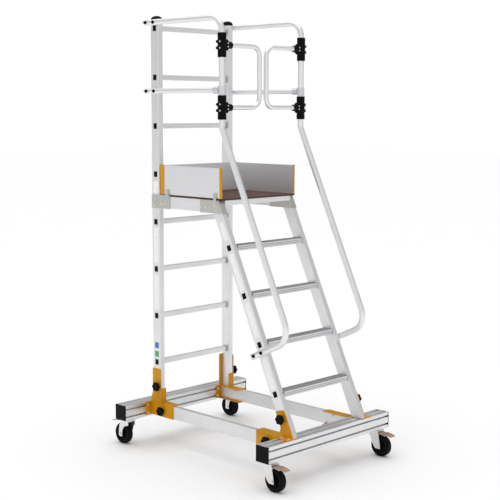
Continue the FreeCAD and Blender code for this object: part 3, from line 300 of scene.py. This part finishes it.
def make_finish(look, along):
    name = f"{look}_{along.lower()}"
    makers = {
        "aluminium_profile": lambda: extruded_metal(name, MILL, along),
        "rung_aluminium": lambda: extruded_metal(name, MILL, "X", 0.42),
        "tread_aluminium": lambda: extruded_metal(name, shade(MILL, 0.92), "X", 0.45),
        # Painted shade: a darker copy of the mill aluminium, for the treads' ribbed grips, their grooves and ends,
        # and the rungs' collars.
        "painted_shade_aluminium": lambda: extruded_metal(name, shade(MILL, 0.6), "X", 0.5),
        "beam_extrusion": lambda: extruded_metal(name, shade(MILL, 1.02), "X", 0.38),
        "tube_aluminium": lambda: extruded_metal(name, shade(MILL, 1.04), along, 0.4, 0.000008, 0.6),
        "toe_board_panel": lambda: extruded_metal(name, shade(MILL, 0.98), along, 0.42, 0.000004, 0.3),
        "tee_casting": lambda: cast_metal(name, colour(0.72, 0.73, 0.75)),
        "black_plastic": lambda: moulded_plastic(name, BLACK, 0.38),
        "hinge_plastic": lambda: moulded_plastic(name, shade(BLACK, 0.8), 0.4),
        "knob_plastic": lambda: moulded_plastic(name, BLACK, 0.42),
        "rim_plastic": lambda: moulded_plastic(name, shade(BLACK, 1.5), 0.45),
        "bracket_yellow": lambda: powder_coat(name, YELLOW),
        "edge_yellow": lambda: powder_coat(name, shade(YELLOW, 1.05)),
        "deck_ply": lambda: deck_board(name),
        "gusset_steel": lambda: zinc_plate(name, colour(0.60, 0.59, 0.565), colour(0.56, 0.545, 0.51), 0.42),
        "zinc_bolt": lambda: zinc_plate(name, ZINC, colour(0.72, 0.70, 0.62), 0.28),
        "caster_zinc": lambda: zinc_plate(name, colour(0.82, 0.83, 0.85), colour(0.76, 0.76, 0.74), 0.3),
        "pedal_steel": lambda: zinc_plate(name, colour(0.60, 0.40, 0.31), colour(0.42, 0.27, 0.18), 0.35),
        "tyre_rubber": lambda: tyre_rubber(name),
        "label_white": lambda: label_film(name, colour(0.95, 0.95, 0.95)),
        "label_blue": lambda: label_film(name, colour(0.03, 0.16, 0.50)),
        "label_green": lambda: label_film(name, colour(0.04, 0.40, 0.12)),
    }
    return makers[look]()


# ---------------------------------------------------------------- mesh helpers

def add_loft(bm, rings, place=Matrix.Identity(4)):
    """A solid through rings of (x, y, z) points, each with the same number of points, closed at both ends."""
    made = [[bm.verts.new(place @ Vector(point)) for point in ring] for ring in rings]
    bm.faces.new(list(reversed(made[0])))
    bm.faces.new(made[-1])
    for lower, upper in zip(made, made[1:]):
        for number in range(len(lower)):
            after = (number + 1) % len(lower)
            bm.faces.new([lower[number], lower[after], upper[after], upper[number]])


def add_prism(bm, outline, low, high, place=Matrix.Identity(4)):
    """A straight prism along the place's Z axis from a closed outline of (x, y) points."""
    add_loft(bm, [[(x, y, level) for x, y in outline] for level in (low, high)], place)


def add_turned(bm, profile, place=Matrix.Identity(4), steps=48):
    """A solid turned about the place's Z axis from (radius, height) points that end on it or make a ring."""
    rings = []
    for radius, height in profile:
        count = steps if radius > 1e-7 else 1
        rings.append([bm.verts.new(place @ Vector((radius * math.cos(2 * math.pi * step / steps),
                                                   radius * math.sin(2 * math.pi * step / steps), height)))
                      for step in range(count)])
    closed = len(rings[0]) > 1
    pairs = list(zip(rings, rings[1:] + rings[:1] if closed else rings[1:]))
    for lower, upper in pairs:
        for step in range(steps):
            after = (step + 1) % steps
            corners = [lower[step % len(lower)], lower[after % len(lower)],
                       upper[after % len(upper)], upper[step % len(upper)]]
            unique = list(dict.fromkeys(corners))
            if len(unique) > 2:
                bm.faces.new(unique)


def soften(bm, width, segments=2, shortest=0.0, sharpest=35):
    """Rounds every edge that is sharper than an angle, in degrees, and longer than a length."""
    bm.normal_update()
    chosen = [edge for edge in bm.edges if len(edge.link_faces) == 2
              and edge.calc_face_angle(0) > math.radians(sharpest) and edge.calc_length() > shortest]
    bmesh.ops.bevel(bm, geom=chosen, offset=width, offset_type="OFFSET", segments=segments, profile=0.5,
                    affect="EDGES", clamp_overlap=True)


def finished(name, bm, body, slot, stands_for=(), along="Z", smooth=38, look=None):
    """Turns a bmesh into a piece of the object that rides on a body. Its look is its slot's, if not given."""
    bmesh.ops.recalc_face_normals(bm, faces=bm.faces)
    mesh = bpy.data.meshes.new(name)
    bm.to_mesh(mesh)
    bm.free()
    piece = bpy.data.objects.new(name, mesh)
    bpy.context.scene.collection.objects.link(piece)
    mesh.shade_smooth()
    mesh.set_sharp_from_angle(angle=math.radians(smooth))
    mesh.materials.append(finish_for(look or slot, along))
    weighted = piece.modifiers.new("even_shading", "WEIGHTED_NORMAL")
    weighted.keep_sharp = True
    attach(piece, body)
    if stands_for:
        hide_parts(*stands_for)
    return piece


def cad_mesh(node):
    """A welded bmesh of a CAD node, with its flat faces whole again."""
    bm = bmesh.new()
    bm.from_mesh(frame["nodes"][node].data)
    bmesh.ops.remove_doubles(bm, verts=bm.verts, dist=5e-6)
    bmesh.ops.dissolve_limit(bm, angle_limit=math.radians(0.4), verts=bm.verts, edges=bm.edges)
    return bm


def softened(node, width, segments=2, shortest=0.0, along="Z"):
    """The CAD node's own shape with its edges rounded as the real piece's are."""
    bm = cad_mesh(node)
    soften(bm, width, segments, shortest)
    return finished(f"{node}_finished", bm, NODE_BODY[node], NODE_SLOT[node], [node], along)


def islands(bm):
    """The vertices of each separate solid, walked in the same order on every run."""
    found = []
    seen = set()
    for first in bm.verts:
        if first in seen:
            continue
        seen.add(first)
        stack = [first]
        verts = []
        while stack:
            vert = stack.pop()
            verts.append(vert)
            for edge in vert.link_edges:
                other = edge.other_vert(vert)
                if other not in seen:
                    seen.add(other)
                    stack.append(other)
        found.append(verts)
    return sorted(found, key=lambda verts: [round(value, 4) for value in extent(verts)[0]])


def extent(verts):
    """The lowest and highest corner of the box round some vertices."""
    return [Vector([pick(vert.co[axis] for vert in verts) for axis in range(3)]) for pick in (min, max)]


def facing(direction, origin):
    """A placement whose Z axis points along a direction."""
    return Matrix.Translation(origin) @ Vector(direction).to_track_quat("Z", "Y").to_matrix().to_4x4()


# ---------------------------------------------------------------- CAD shapes with real edges

# Edge radius, segments and shortest rounded edge in millimetres, and the way the metal was drawn.
SOFTENED = {
    "front_cross_beam": (0.8, 2, 30, "X"), "rear_cross_beam": (0.8, 2, 30, "X"),
    "beam_end_caps": (2.5, 3, 0, "X"),
    "deck_panel": (0.8, 2, 0, "X"), "deck_cross_beams": (1.5, 2, 20, "X"),
    "deck_side_beams": (2, 3, 25, "Y"), "deck_gussets": (0.7, 2, 12, "Y"),
    "toe_board_clips": (0.6, 2, 0, "Z"), "toe_board_edges": (0.6, 2, 8, "Z"),
    "rear_toe_board": (1.2, 2, 0, "X"), "caster_plates": (0.8, 2, 12, "Z"),
    "gate_hinge_barrels": (1.6, 3, 0, "Z"),
}
for side in SIDES:
    SOFTENED |= {
        f"{side}_side_rail": (2, 3, 25, "Y"), f"{side}_rear_stile": (3, 3, 200, "Z"),
        f"{side}_front_stile": (3, 3, 200, "SLOPE"), f"front_{side}_bracket": (1.1, 2, 12, "Z"),
        f"rear_{side}_bracket": (1.1, 2, 12, "Z"), f"{side}_toe_board": (1.2, 2, 0, "Y"),
    }
for corner in CORNERS:
    SOFTENED |= {f"{corner}_fork": (0.9, 2, 5, "Z"), f"{corner}_brake_pedal": (0.8, 2, 3, "Y")}
for node, (radius, segments, shortest, along) in SOFTENED.items():
    softened(node, radius * MM, segments, shortest * MM, along)

TUBES = ("left_handrail", "right_handrail", "mid_rails", "left_gate_leaf", "right_gate_leaf")
for node in TUBES:
    for material_slot in frame["nodes"][node].material_slots:
        material_slot.material = finish_for(NODE_SLOT[node], "ROUND")


# ---------------------------------------------------------------- treads and rungs

ALONG_X = Matrix(((0, 0, 1, 0), (1, 0, 0, 0), (0, 1, 0, 0), (0, 0, 0, 1)))


def at_mm(x, y, z):
    return Matrix.Translation(Vector((x, y, z)) * MM)


def ribbed_top(half, top, ribs, depth):
    """Points from the rear to the front of a top face with square ribs, in millimetres."""
    pitch = 2 * half / ribs
    points = []
    for number in range(ribs):
        start = half - number * pitch
        points += [(start, top), (start - 0.62 * pitch, top)]
        if number < ribs - 1:
            points += [(start - 0.68 * pitch, top - depth), (start - 0.94 * pitch, top - depth)]
    return points


# The middles of the two grooves along a tread's front edge, above its own middle.
GROOVES = (5, -5)


def tread_section():
    """A tread seen from its end, with two grooves along its front edge and a seat for its grip on top."""
    points = [(-33.5, -15), (33.5, -15), (35, -13.5), (35, 14.2), (33, 14.6), (32.4, 12), (-31.4, 12),
              (-32, 14.6), (-35, 14.2)]
    for middle in GROOVES:
        points += [(-35, middle + 2.2), (-32.5, middle + 1.6), (-32.5, middle - 1.6), (-35, middle - 2.2)]
    points.append((-35, -13.5))
    return points


def grip_section():
    """The ribbed grip along a tread's top."""
    return [(-31.5, 11.9), (32.5, 11.9)] + [(y + 0.5, z) for y, z in ribbed_top(32, 15, 11, 1.6)]


def rung_section():
    """A rung seen from its end: rounded corners and four grip ribs on top."""
    points = [(-10, -15), (10, -15), (11.8, -14.2), (12.5, -12.5), (12.5, 12.5), (11.8, 14.2)]
    points += ribbed_top(10.5, 15, 4, 1)
    return points + [(-11.8, 14.2), (-12.5, 12.5), (-12.5, -12.5), (-11.8, -14.2)]


def in_metres(points):
    return [tuple(value * MM for value in point) for point in points]


def rectangle(wide, tall):
    return [(-wide / 2, -tall / 2), (wide / 2, -tall / 2), (wide / 2, tall / 2), (-wide / 2, tall / 2)]


def tread_place(step):
    climbed = TREAD_PITCH * step
    return at_mm(0, FIRST_TREAD_Y + climbed * math.tan(LEAN), FIRST_TREAD + climbed)


def rung_place(step):
    return at_mm(0, REAR_STILE_Y, FIRST_RUNG + RUNG_PITCH * step)


# The treads come through the stiles as tubes of the rungs' size, square to the stile.
bm = bmesh.new()
for step in range(TREADS):
    place = tread_place(step)
    add_prism(bm, in_metres(tread_section()), -INNER * MM, INNER * MM, place @ ALONG_X)
    tilted = place @ Matrix.Rotation(-LEAN, 4, "X") @ ALONG_X
    for start, end in ((-OUTER, -INNER), (INNER, OUTER)):
        add_prism(bm, in_metres(rectangle(RUNG_DEPTH, RUNG_HEIGHT)), start * MM, end * MM, tilted)
finished("stair_treads_grooved", bm, "root", "tread_aluminium", ["stair_treads"], "X")

# The treads' ribbed grips, strips in their front grooves and thin plates at their ends, all in the darker copy of
# the aluminium: painted shade on the ribs, in the grooves and where the treads meet the stiles.
END_SHADE_PLATE = 4
bm = bmesh.new()
for step in range(TREADS):
    place = tread_place(step) @ ALONG_X
    add_prism(bm, in_metres(grip_section()), -INNER * MM, INNER * MM, place)
    for middle in GROOVES:
        groove_shade_strip = [(y - 33, z + middle) for y, z in rectangle(1.6, 3.2)]
        add_prism(bm, in_metres(groove_shade_strip), -INNER * MM, INNER * MM, place)
    for start, end in ((-INNER, END_SHADE_PLATE - INNER), (INNER - END_SHADE_PLATE, INNER)):
        add_prism(bm, in_metres(rectangle(73, 33)), start * MM, end * MM, place)
finished("stair_tread_grips", bm, "root", "tread_aluminium", (), "X", 38, "painted_shade_aluminium")

bm = bmesh.new()
for step in range(RUNGS):
    place = rung_place(step) @ ALONG_X
    add_prism(bm, in_metres(rung_section()), -OUTER * MM, OUTER * MM, place)
finished("rear_rungs_ribbed", bm, "root", "rung_aluminium", ["rear_rungs"], "X")

# Collars where the rungs meet the stiles, in the darker copy of the aluminium: painted shade at the joints.
bm = bmesh.new()
for step in range(RUNGS):
    place = rung_place(step)
    for side in SIDES.values():
        rings = []
        for x, grow in ((INNER, 4), (INNER - 2, 4), (INNER - 5, 3), (INNER - 12, 0.3)):
            outline = rectangle(RUNG_DEPTH + 2 * grow, RUNG_HEIGHT + 2 * grow)
            rings.append([(side * x, y, z) for y, z in outline])
        add_loft(bm, [in_metres(ring) for ring in rings], place)
soften(bm, 1.5 * MM, 3, 0.0, 50)
finished("rung_collars", bm, "root", "rung_aluminium", (), "X", 38, "painted_shade_aluminium")


# ---------------------------------------------------------------- fasteners

def circle(radius, height, sides, swell=None):
    """A ring of points at a height, in millimetres. swell(angle) adds to its radius."""
    ring = []
    for number in range(sides):
        angle = 2 * math.pi * number / sides
        out = radius + (swell(angle) if swell else 0)
        ring.append((out * math.cos(angle), out * math.sin(angle), height))
    return ring


def add_hex_bolt(bm, place, shank):
    """A chamfered hexagon head on a washer, and a shank below the surface it is screwed to."""
    add_loft(bm, [in_metres(circle(7, height, 6)) for height in (1.2, 4.2)]
             + [in_metres(circle(6, BOLT_HEAD, 6))], place)
    add_loft(bm, [in_metres(circle(radius, height, 24)) for radius, height in
                  ((8.2, 0), (8.2, 0.9), (7.8, 1.2))], place)
    add_loft(bm, [in_metres(circle(SHANK_RADIUS, height, 12)) for height in (-shank, 0)], place)


# Each CAD bolt runs along its longest side, and its head is the end that reaches beyond the shank's radius.
plain_bolts = cad_mesh("frame_bolts")
shank_reach = (SHANK_RADIUS + 1) * MM
bm = bmesh.new()
for verts in islands(plain_bolts):
    low, high = extent(verts)
    size, middle = high - low, (low + high) / 2
    axis = max(range(3), key=lambda number: size[number])
    across = [number for number in range(3) if number != axis]
    head = [vert.co[axis] for vert in verts
            if math.hypot(*(vert.co[number] - middle[number] for number in across)) > shank_reach]
    outward = 1 if sum(head) / len(head) > middle[axis] else -1
    direction = Vector((0, 0, 0))
    direction[axis] = outward
    foot = middle.copy()
    foot[axis] = (high if outward > 0 else low)[axis] - outward * BOLT_HEAD * MM
    add_hex_bolt(bm, facing(direction, foot), size[axis] / MM - BOLT_HEAD)
plain_bolts.free()
# The brackets' nuts inside the side rails, placed by how far out and how high they are at either end.
NUTS = ((405, 232), (352, 180))
for side in SIDES.values():
    for end in (-1, 1):
        for y, z in NUTS:
            nut_at = Vector((SIDE_RAIL_INNER * side, y * end, z)) * MM
            add_hex_bolt(bm, facing((-side, 0, 0), nut_at), 2)
finished("frame_bolts_hex", bm, "root", "zinc_bolt", ["frame_bolts"], "Z", 25)


def knob_swell(angle):
    return 5 * (0.5 + 0.5 * math.cos(6 * angle)) ** 0.8


# Radius, height and how far the lobes swell, up a clamp knob from its stud's tip.
KNOB = (
    (3.2, -12, 0), (4, -11, 0), (4, 0.3, 0), (11, 0.3, 0), (12, 1.2, 0), (12, 10.5, 0), (13.5, 12.4, 0.1),
    (20.6, 13, 0.9), (22.5, 14, 1), (23, 16, 1), (23, 26, 1), (22.3, 28.4, 1), (20.2, 29.7, 0.9),
    (15, 30, 0.5), (10.2, 29.8, 0.1), (9, 29, 0), (8.4, 27.6, 0),
)
for name, joint in JOINTS.items():
    if not name.endswith("_knob_turn"):
        continue
    node = name.removesuffix("_turn")
    bm = bmesh.new()
    place = facing(joint["axis"], joint["pos_m"])
    add_loft(bm, [in_metres(circle(radius, height, 72, lambda angle: share * knob_swell(angle)))
                  for radius, height, share in KNOB], place)
    finished(f"{node}_lobed", bm, NODE_BODY[node], "knob_plastic", [node])


# ---------------------------------------------------------------- black plugs, caps and buttons

def rounded_rectangle(wide, tall, corner, steps=6):
    points = []
    reach, rise = wide / 2 - corner, tall / 2 - corner
    for x, y, turn in ((reach, -rise, -90), (reach, rise, 0), (-reach, rise, 90), (-reach, -rise, 180)):
        for number in range(steps + 1):
            angle = math.radians(turn + 90 * number / steps)
            points.append((x + corner * math.cos(angle), y + corner * math.sin(angle)))
    return points


def stile_cap_rings():
    """A domed cap from its skirt to its crown, in millimetres above the stile's end."""
    half_width, half_depth, skirt, corner = 17, 34, 5, 4
    rings = [[(x, y, level) for x, y in rounded_rectangle(2 * half_width, 2 * half_depth, corner)]
             for level in (0, 3, skirt)]
    for step in range(1, 11):
        angle = math.radians(9 * step)
        shrink = 1 - math.cos(angle)
        across, along = half_width - 14.6 * shrink, half_depth - 25 * shrink
        level = skirt + 20.8 * math.sin(angle)
        rounding = min(corner + 0.7 * (half_width - across), across - 0.1)
        rings.append([(x, y, level) for x, y in rounded_rectangle(2 * across, 2 * along, rounding)])
    return rings


def button_profile(shank):
    """A domed head whose skirt sits down round the tube, and its shank."""
    return ((0, -shank), (SHANK_RADIUS, -shank), (SHANK_RADIUS, -3.6), (10, -3.6), (10, 1.5), (9.5, 3.8),
            (8.2, 5.8), (6, 7.2), (3.1, 7.9), (0, BUTTON_HEAD))


# The buttons are the plugs that reach beyond the handrails, and the stiles' caps are the highest ones.
bm = cad_mesh("end_plugs")
buttons, caps = [], []
for verts in islands(bm):
    low, high = extent(verts)
    middle = (low + high) / 2
    outward = 1 if middle.x > 0 else -1
    if max(-low.x, high.x) > (RAIL_X + RAIL_RADIUS + 2) * MM:
        outer = high.x if outward > 0 else low.x
        place = facing((outward, 0, 0), (outer - outward * BUTTON_HEAD * MM, middle.y, middle.z))
        buttons.append((button_profile((high.x - low.x) / MM - BUTTON_HEAD), place))
    elif low.z > (REAR_STILE_TOP - 10) * MM:
        caps.append(at_mm(outward * (INNER + OUTER) / 2, REAR_STILE_Y, REAR_STILE_TOP))
    else:
        continue
    bmesh.ops.delete(bm, geom=verts, context="VERTS")
soften(bm, 1 * MM, 2, 5 * MM)
# A copy has no gaps where faces were taken out, so what is added to it keeps the same order on every run.
whole = bm.copy()
bm.free()
for profile, place in buttons:
    add_turned(whole, in_metres(profile), place, 32)
for place in caps:
    add_loft(whole, [in_metres(ring) for ring in stile_cap_rings()], place)
finished("end_plugs_domed", whole, "root", "black_plastic", ["end_plugs"])


# ---------------------------------------------------------------- gate hinges and tees

# Turns that point the Z axis to the front, to the rear and to the right.
TO_FRONT = Matrix.Rotation(math.radians(90), 4, "X")
TO_REAR = Matrix.Rotation(math.radians(-90), 4, "X")
TO_RIGHT = Matrix.Rotation(math.radians(90), 4, "Y")


def bar_between(bm, place, first, second, radius, low, high):
    """A plate with round ends about two points in the place's XZ plane, from low to high along its Y axis."""
    start, end = Vector((first[0], first[1])), Vector((second[0], second[1]))
    heading = math.atan2(end.y - start.y, end.x - start.x)
    outline = []
    for centre, offset in ((end, -90), (start, 90)):
        for number in range(13):
            angle = heading + math.radians(offset + 15 * number)
            outline.append((centre.x + radius * math.cos(angle), centre.y + radius * math.sin(angle)))
    add_prism(bm, in_metres(outline), low * MM, high * MM, place @ TO_FRONT)


def pan_head(radius):
    """The outline that turns into a small bolt's head."""
    return in_metres(((0, 0), (radius, 0), (radius, 2), (radius - 1, 3), (0, 3.2)))


COLLAR_HALF = 31.7
COLLAR_RING = ((17.05, -COLLAR_HALF), (22.6, -COLLAR_HALF), (24, -30.3), (24, 30.3), (22.6, COLLAR_HALF),
               (17.05, COLLAR_HALF))
SOCKET = ((14, 30), (14, 70), (15.8, 70), (18.2, 68.4), (19.4, 65), (19.4, 24), (18, 22), (14, 22))
for side, sign in SIDES.items():
    node = f"{side}_gate_collars"
    low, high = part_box(node)
    heights = (low.z + COLLAR_HALF * MM, high.z - COLLAR_HALF * MM)
    body_mesh, bolt_mesh = bmesh.new(), bmesh.new()
    for height in heights:
        place = Matrix.Translation((RAIL_X * MM * sign, POST_Y * MM, height))
        place = place @ Matrix.Diagonal((-sign, 1, 1, 1))
        add_turned(body_mesh, in_metres(COLLAR_RING), place)
        add_turned(body_mesh, in_metres(SOCKET), place @ TO_RIGHT, 40)
        for level in (-17, 17):
            bar_between(body_mesh, place, (-27, level), (-18, level * 0.8), 8.5, -13, 13)
            add_turned(bolt_mesh, pan_head(4.6), place @ at_mm(-29.5, -13, level) @ TO_FRONT, 20)
        for level in (-24, 24):
            bar_between(body_mesh, place, (30, level), (16, level * 0.9), 6.5, -12, 12)
        bar_between(body_mesh, place, (29, -15), (29, 15), 10, -16, 16)
        for level in (-8.5, 8.5):
            add_turned(bolt_mesh, pan_head(4.4), place @ at_mm(31, -16, level) @ TO_FRONT, 20)
    soften(body_mesh, 1.2 * MM, 2, 0.0, 50)
    finished(f"{node}_moulded", body_mesh, f"{side}_gate", "hinge_plastic", [node])
    finished(f"{side}_gate_collar_bolts", bolt_mesh, f"{side}_gate", "zinc_bolt")

SLEEVE = ((17, -23), (21.2, -23), (22, -22), (22, -17), (21.2, -16), (21.2, 16), (22, 17), (22, 22),
          (21.2, 23), (17, 23))
STUB = ((15.1, 15), (15.1, 57), (19.2, 57), (20, 56), (20, 51), (19.1, 50), (19.1, 45), (20, 44), (20, 28),
        (20.8, 15))
bm = bmesh.new()
for sign in SIDES.values():
    place = at_mm(RAIL_X * sign, POST_Y, MID_RAIL)
    add_turned(bm, in_metres(SLEEVE), place)
    add_turned(bm, in_metres(STUB), place @ TO_REAR)
finished("mid_rail_tees_cast", bm, "root", "tee_casting", ["mid_rail_tees"])


# ---------------------------------------------------------------- wheels

TYRE_HALF = ((47, 17), (49.5, 19.8), (52, 20), (56, 19.9), (59, 18.6), (61.2, 16), (62.2, 12), (62.45, 6))
RIM_HALF = ((6.1, 24), (14, 24), (15, 23), (15.6, 8), (17, 6.2), (36, 6), (39.5, 8), (40.6, 16.2), (42, 17),
            (46.9, 17))


def both_halves(profile):
    return list(profile) + [(radius, -across) for radius, across in reversed(profile)]


for corner in CORNERS:
    centre = JOINTS[f"{corner}_roll"]["pos_m"]
    place = facing((1, 0, 0), centre)
    bm = bmesh.new()
    add_turned(bm, in_metres(both_halves(TYRE_HALF)), place, 96)
    finished(f"{corner}_tyre_worn", bm, f"{corner}_wheel", "tyre_rubber", [f"{corner}_tyre"])
    bm = bmesh.new()
    add_turned(bm, in_metres(both_halves(RIM_HALF)), place, 72)
    for number in range(6):
        spoke = place @ Matrix.Rotation(math.radians(60 * number), 4, "Z")
        for face in (-1, 1):
            outline = in_metres(((15, -1.6), (41, -2.2), (41, 2.2), (15, 1.6)))
            low, high = sorted((face * 5.5 * MM, face * 14 * MM))
            add_prism(bm, outline, low, high, spoke)
    finished(f"{corner}_rim_ribbed", bm, f"{corner}_wheel", "rim_plastic", [f"{corner}_rim"])


# A bright spring strip under each brake pedal, drawn as (y, z) from the pedal's pin.
SHOE = ((-22, -1.5), (-34, -4.2), (-47.3, -8.2), (-47.3, -11.3), (-34, -7.3), (-20, -5.3), (-17, -3.6))
SHOE_HALF_WIDTH = 16.3
for corner in CORNERS:
    pin = Vector(JOINTS[f"{corner}_brake_press"]["pos_m"])
    turn = Matrix.Rotation(math.radians(180 if corner.startswith("rear") else 0), 4, "Z")
    bm = bmesh.new()
    place = Matrix.Translation(pin) @ turn @ ALONG_X
    add_prism(bm, in_metres(SHOE), -SHOE_HALF_WIDTH * MM, SHOE_HALF_WIDTH * MM, place)
    soften(bm, 0.5 * MM, 2, 2 * MM)
    finished(f"{corner}_brake_strip", bm, f"{corner}_brake", "caster_zinc")


# ---------------------------------------------------------------- blank stickers

def sticker(name, slot, wide, low, high, place):
    """A thin film with rounded corners on a stile's outer face, from low to high up the stile."""
    bm = bmesh.new()
    outline = [(x, z + (low + high) / 2) for x, z in rounded_rectangle(wide, high - low, 3, 4)]
    add_prism(bm, in_metres(outline), 0.02 * MM, 0.25 * MM, place)
    finished(name, bm, "root", slot)


# Local x runs toward the front along the stile's outer face, local y up the stile, and local z outward.
OUTER_FACE = Matrix(((0, 0, -1, 0), (-1, 0, 0, 0), (0, 1, 0, 0), (0, 0, 0, 1)))
rear_face = at_mm(-OUTER, REAR_STILE_Y, 0) @ OUTER_FACE
stair_foot = at_mm(-OUTER, FIRST_TREAD_Y, FIRST_TREAD) @ Matrix.Rotation(-LEAN, 4, "X") @ OUTER_FACE
for number, (low, high) in enumerate(((811, 1020), (1090, 1303), (1506, 1573))):
    sticker(f"rear_stile_strip_{number + 1}", "label_white", 40, low, high, rear_face)
sticker("rear_stile_green_square", "label_green", 34, 526, 561, rear_face)
sticker("rear_stile_blue_square", "label_blue", 34, 579, 614, rear_face)
for number, (low, high) in enumerate(((495, 655), (762, 940), (1004, 1200), (1274, 1367))):
    reach = [(height - FIRST_TREAD) / math.cos(LEAN) for height in (low, high)]
    sticker(f"stair_strip_{number + 1}", "label_white", 36, *reach, stair_foot)


# ---------------------------------------------------------------- floor, light and camera

def pale_floor():
    graph = Graph("pale_floor", Specular_IOR_Level=0.2)
    tint = graph.noise(3, 3, 0.5)
    graph.set(Base_Color=graph.blend(tint, colour(0.93, 0.93, 0.93), colour(0.95, 0.95, 0.95)),
              Roughness=graph.span(graph.noise(40, 2, 0.5), 0.3, 0.7, 0.6, 0.75))
    return graph.material


bm = bmesh.new()
bmesh.ops.create_grid(bm, x_segments=2, y_segments=2, size=40)
floor_mesh = bpy.data.meshes.new("floor")
bm.to_mesh(floor_mesh)
bm.free()
floor = bpy.data.objects.new("floor", floor_mesh)
floor_mesh.materials.append(pale_floor())
bpy.context.scene.collection.objects.link(floor)


def sun_light(name, direction, spread, strength):
    """A soft light from one side of the studio, aimed along a direction."""
    data = bpy.data.lights.new(name, "SUN")
    data.angle = math.radians(spread)
    data.energy = strength
    light = bpy.data.objects.new(name, data)
    light.rotation_mode = "QUATERNION"
    light.rotation_quaternion = Vector(direction).to_track_quat("-Z", "Y")
    bpy.context.scene.collection.objects.link(light)
    return light


sun_light("ceiling_softbox", (0.02, -0.16, -1), 75, 1.55)


class Sky:
    """The studio's walls and ceiling: bright overhead, and darker behind the ladder."""

    def __init__(self, name):
        self.world = bpy.data.worlds.new(name)
        self.world.use_nodes = True
        self.tree = self.world.node_tree
        self.tree.nodes.clear()
        self.direction = self.tree.nodes.new("ShaderNodeTexCoord").outputs["Generated"]

    def along(self, axis, levels):
        """Brightness that follows how far a direction leans towards an axis, from -1 to 1."""
        lean = self.tree.nodes.new("ShaderNodeVectorMath")
        lean.operation = "DOT_PRODUCT"
        self.tree.links.new(self.direction, lean.inputs[0])
        lean.inputs[1].default_value = Vector(axis).normalized()
        shift = self.tree.nodes.new("ShaderNodeMapRange")
        shift.inputs["From Min"].default_value = -1
        self.tree.links.new(lean.outputs["Value"], shift.inputs["Value"])
        ramp = self.tree.nodes.new("ShaderNodeValToRGB")
        self.tree.links.new(shift.outputs[0], ramp.inputs[0])
        marks = ramp.color_ramp.elements
        while len(marks) < len(levels):
            marks.new(0.5)
        for mark, (place, level) in zip(marks, levels):
            mark.position = (place + 1) / 2
            mark.color = (level, level, level, 1)
        return ramp.outputs[0]

    def light(self, source, strength):
        glow = self.tree.nodes.new("ShaderNodeBackground")
        if source is not None:
            self.tree.links.new(source, glow.inputs["Color"])
        else:
            glow.inputs["Color"].default_value = (1, 1, 1, 1)
        glow.inputs["Strength"].default_value = strength
        return glow.outputs[0]

    def choose(self, factor, first, second):
        mix = self.tree.nodes.new("ShaderNodeMixShader")
        self.tree.links.new(factor, mix.inputs[0])
        self.tree.links.new(first, mix.inputs[1])
        self.tree.links.new(second, mix.inputs[2])
        return mix.outputs[0]


sky = Sky("studio")
wall_levels = ((-1, 1.15), (-0.5, 0.85), (0.15, 0.62), (0.6, 0.4), (0.97, 0.1))
walls = sky.light(sky.along((1, 1, 0), wall_levels), 0.9)
ceiling = sky.light(sky.along((0, 0, 1), ((0.0, 0.6), (1.0, 0.74))), 0.9)
lit = sky.choose(sky.along((0, 0, 1), ((0.05, 0.0), (0.75, 1.0))), walls, ceiling)
seen = sky.tree.nodes.new("ShaderNodeLightPath").outputs["Is Camera Ray"]
whole = sky.choose(seen, lit, sky.light(None, 1.05))
sky.tree.links.new(whole, sky.tree.nodes.new("ShaderNodeOutputWorld").inputs["Surface"])
bpy.context.scene.world = sky.world

scene = bpy.context.scene
scene.view_settings.view_transform = "Standard"
scene.view_settings.look = "None"

AZIMUTH, ELEVATION, ROLL = math.radians(45.284), math.radians(7.042), math.radians(0.12)
camera_data = bpy.data.cameras.new("camera")
camera_data.sensor_width = 36
camera_data.lens = 81.73
camera = bpy.data.objects.new("camera", camera_data)
camera.location = (-4.633, -4.581, 1.990)
gaze = Vector((math.sin(AZIMUTH) * math.cos(ELEVATION), math.cos(AZIMUTH) * math.cos(ELEVATION),
               -math.sin(ELEVATION)))
camera.rotation_mode = "QUATERNION"
camera.rotation_quaternion = gaze.to_track_quat("-Z", "Y") @ Quaternion((0, 0, 1), ROLL)
scene.collection.objects.link(camera)
scene.camera = camera
